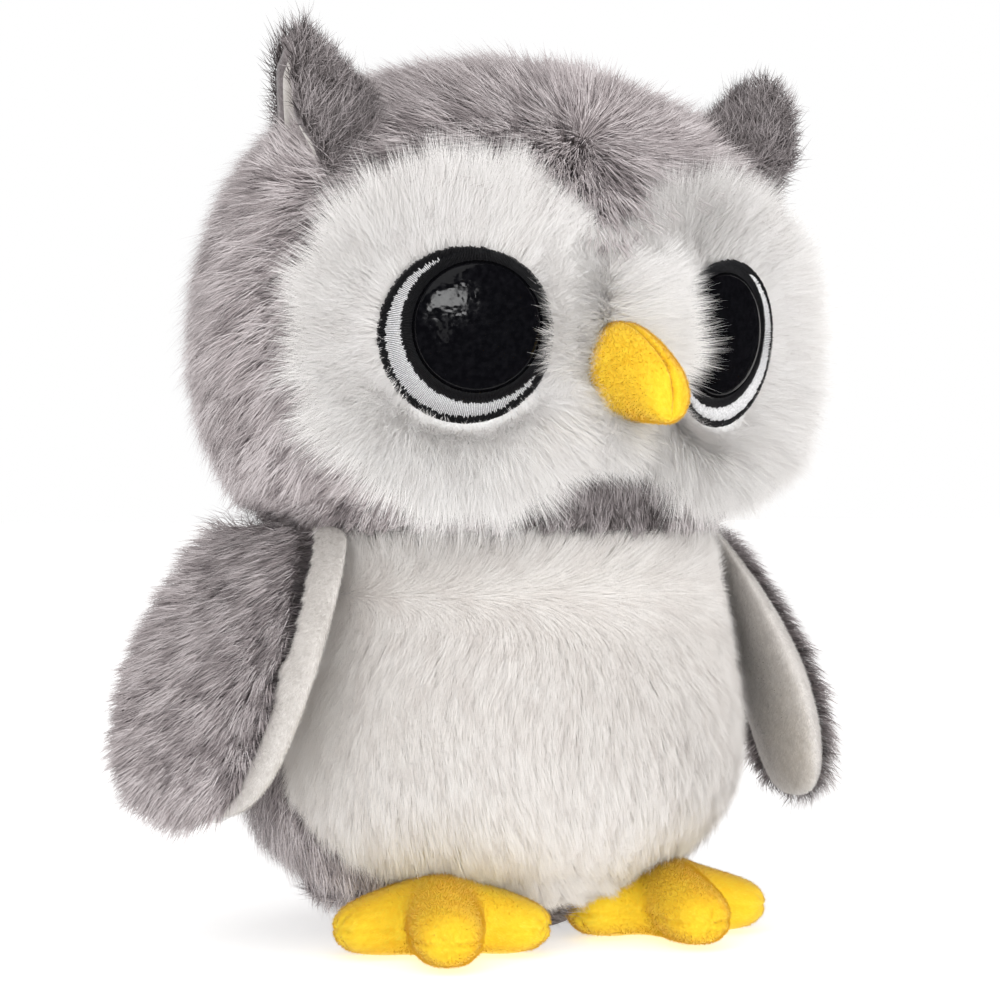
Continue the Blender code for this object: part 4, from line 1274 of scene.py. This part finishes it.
# Along the wing, and there its chord, its thickness and its bow outward, each as a share
WING_STATIONS = (
    (-0.03, 0.68, 0.34, 0.0),
    (0.06, 0.80, 0.46, 0.2),
    (0.25, 0.96, 0.78, 0.7),
    (0.55, 1.06, 1.06, 1.0),
    (0.84, 0.94, 1.00, 0.3),
    (1.02, 0.56, 0.62, -0.7),
)
for side, word, swept, splay, root_height in (
    (-1, "right", 17.0, 26.0, 0.1035 + 0.0030),
    (1, "left", 20.0, 23.0, 0.1035 + 0.0010),
):
    wing = f"wing_{word}"
    rings = []
    for along, chord, thick, bow in WING_STATIONS:
        middle = Vector((side * bow * WING_BOW, -0.0015, -along * WING_LENGTH))
        rings.append((middle, chord * WING_CHORD - 0.0004, thick * WING_THICKNESS - 0.0004))
    flap = limb_skin(wing, rings, Vector((0.0, 1.0, 0.0)), Vector((1.0, 0.0, 0.0)), 4)
    local, faces = cloth_arrays(flap)
    along = -local[:, 2] / 0.0765
    stations, chords, _, bows = zip(*WING_STATIONS)
    bow = np.interp(along, stations, bows)
    chord = np.interp(along, stations, chords)
    outer = side * local[:, 0] > bow * WING_BOW - local[:, 1] / 0.031 * 0.0042
    outer |= local[:, 1] > 0.45 * WING_CHORD * chord
    outer_faces = outer[faces].sum(axis=1) > 1
    local = np.where(outer[:, None], local - cloth_normals(local, faces) * 0.0016, local)
    sweep = Matrix.Rotation(-side * math.radians(swept), 3, "Z")
    matrix = np.array(sweep @ Matrix.Rotation(-side * math.radians(splay), 3, "Y"))
    points = local @ matrix.T + np.array((side * 0.06342, 0.001, root_height))
    skin = (points, faces)
    cloth = cut_cloth(wing, skin, outer_faces)
    sewn_piece(wing, cloth, wing, grey_knit, [f"wing_outer_{word}"], WING_WALL)
    lining = cut_cloth(f"wing_velboa_{word}", skin, ~outer_faces)
    nodes = [f"wing_lining_{word}"]
    sewn_piece(f"wing_velboa_{word}", lining, wing, lining_velboa, nodes, WING_WALL)

    # The outer pile is combed down, forward near the front edge and back near the rear one
    chordwise = 1.1 * ramped(local[:, 1], 0.0, 0.03) - 1.0 * (1 - ramped(local[:, 1], -0.028, -0.012))
    shoulder = 1 - ramped(along, 0.0, 0.30)
    nap = matrix @ np.array((0.0, 0.45, -1.0)) + chordwise[:, None] * (matrix @ np.array((0.0, 1.0, 0.0)))
    comb = combed(points, nap, lift=42.0 + 6.0 * shoulder, grow=1.0 + 0.10 * shoulder)
    brushed_pile(
        f"wing_pile_{word}",
        skin,
        outer_faces,
        comb,
        wing,
        "grey_plush",
        grey_shades,
        61 + side,
        strands_per_square_metre=5.0e6,
    )
    comb = combed(points, nap=matrix @ np.array((0.0, 0.2, -1.0)), lift=40.0)
    brushed_pile(
        f"wing_lining_fuzz_{word}",
        skin,
        ~outer_faces,
        comb,
        wing,
        "white_velboa",
        lining_shades,
        65 + side,
        **FUZZ,
    )


# The feet
# Yellow velboa, cut as an upper and a sole that are sewn at a level seam round three stuffed toes,
# puckered at the toe tips, and stitched to the body's front edge. Both lean to the owl's right.

SEAM_HEIGHT = 0.0074
TOE_HALF_WIDTH = 0.0100
TOE_HALF_HEIGHT = 0.0102
PAD_HEIGHT = 0.0095
FUZZ_STANDS_ABOVE = (0.0012, 0.0020)
# Each toe's side, its reach, and its height and breadth as shares; the last is the pad
TOES = ((0, 0.039, 1.05, 1.0), (-1, 0.029, 0.95, 1.0), (1, 0.029, 0.95, 1.0), (0, 0.018, 1.06, 1.5))
# Along the toe, and there its width and its height, each as a share
TOE_STATIONS = ((-0.20, 0.94, 1.06), (0.30, 0.98, 1.04), (0.80, 1.06, 0.80), (1.06, 0.62, 0.48))
fibre = knit_backing("loose_fibre", (0.62, 0.62, 0.62), (0.86, 0.86, 0.86))
for side, word in ((-1, "right"), (1, "left")):
    pad = Vector((side * 0.032, -0.026, PAD_HEIGHT))
    joined = bmesh.new()
    tips = []
    for toe, reach, height, broad in TOES:
        spread = math.radians(-17.5 + side * 6.5 + toe * 62.0)
        ahead = Vector((math.sin(spread), -math.cos(spread), 0.0))
        across = Vector((math.cos(spread), math.sin(spread), 0.0))
        rings = []
        for along, wide, tall in TOE_STATIONS:
            lowered = Vector((0.0, 0.0, (tall * height - 1.0) * PAD_HEIGHT if along < 1.0 else -0.0018))
            half_across = broad * wide * TOE_HALF_WIDTH - 0.0003
            half_thick = height * tall * TOE_HALF_HEIGHT - 0.0003
            rings.append((pad + lowered + ahead * along * reach, half_across, half_thick))
        if broad == 1.0:
            tips.append((np.array(rings[-1][0]), np.array(ahead), np.array(across)))
        mesh = limb_skin("toe", rings, across, Vector((0.0, 0.0, 1.0)), 3)
        joined.from_mesh(mesh)
        bpy.data.meshes.remove(mesh)
    mesh = bpy.data.meshes.new(f"foot_{word}")
    joined.to_mesh(mesh)
    joined.free()
    made = put(f"foot_form_{word}", mesh)
    knitted = made.modifiers.new("one cloth", "REMESH")
    knitted.mode = "VOXEL"
    knitted.voxel_size = 0.0009
    knitted.use_smooth_shade = True
    points, faces = cloth_arrays(applied(made).data)
    bpy.data.objects.remove(made)

    # The cloth is drawn in along the side seam, and in five puckers round each toe's tip
    points = eased(points, faces, 40)
    up = cloth_normals(points, faces)
    drawn = hill(points[:, 2], SEAM_HEIGHT, 0.0006) * (1 - np.abs(up[:, 2])) * 0.0007
    for tip, ahead, across in tips:
        off = points - tip
        beside = np.hypot(off @ across, off[:, 2])
        angle = np.arctan2(off[:, 2], off @ across)
        pucker = np.maximum(np.cos(5 * angle + 0.6), 0.0) ** 3 * hill(beside, 0.0022, 0.0022)
        drawn = drawn + pucker * (off @ ahead > -0.006) * (np.linalg.norm(off, axis=1) < 0.012) * 0.0008
    points = points - up * drawn[:, None]
    points[:, 2] = np.maximum(points[:, 2], 0.0004)

    fill = cut_cloth(f"foot_fill_{word}", (points - up * 0.0016, faces))
    sewn_piece(
        f"foot_fill_{word}", fill, "body", fibre, [f"foot_stuffing_{word}"]
    )
    foot = cut_cloth(f"foot_{word}", (points, faces))
    nodes = [f"foot_upper_{word}", f"foot_sole_{word}"]
    sewn_piece(f"foot_{word}", foot, "body", yellow_velboa, nodes)
    nap = unit(points - np.array(pad)) * (1, 1, 0) + (0, 0, -0.3)
    comb = combed(points, nap, lift=40.0, thick=ramped(points[:, 2], *FUZZ_STANDS_ABOVE))
    brushed_pile(
        f"foot_fuzz_{word}",
        (points, faces),
        None,
        comb,
        "body",
        "yellow_velboa",
        yellow_shades,
        71 + side,
        **FUZZ,
    )


# The filling
# Loose polyester fibre in the head, body, beak and wings, and a cloth bag of pellets that keeps
# the owl sitting. None of it shows: these are the model's own solids with a cloth finish.

bag_cloth = knit_backing("bag_cloth", (0.60, 0.58, 0.56), (0.80, 0.78, 0.76))
for name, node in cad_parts.items():
    if "stuffing" in name or "padding" in name:
        node.data.materials.clear()
        node.data.materials.append(fibre)
    if name == "pellet_bag":
        node.data.materials.clear()
        node.data.materials.append(bag_cloth)
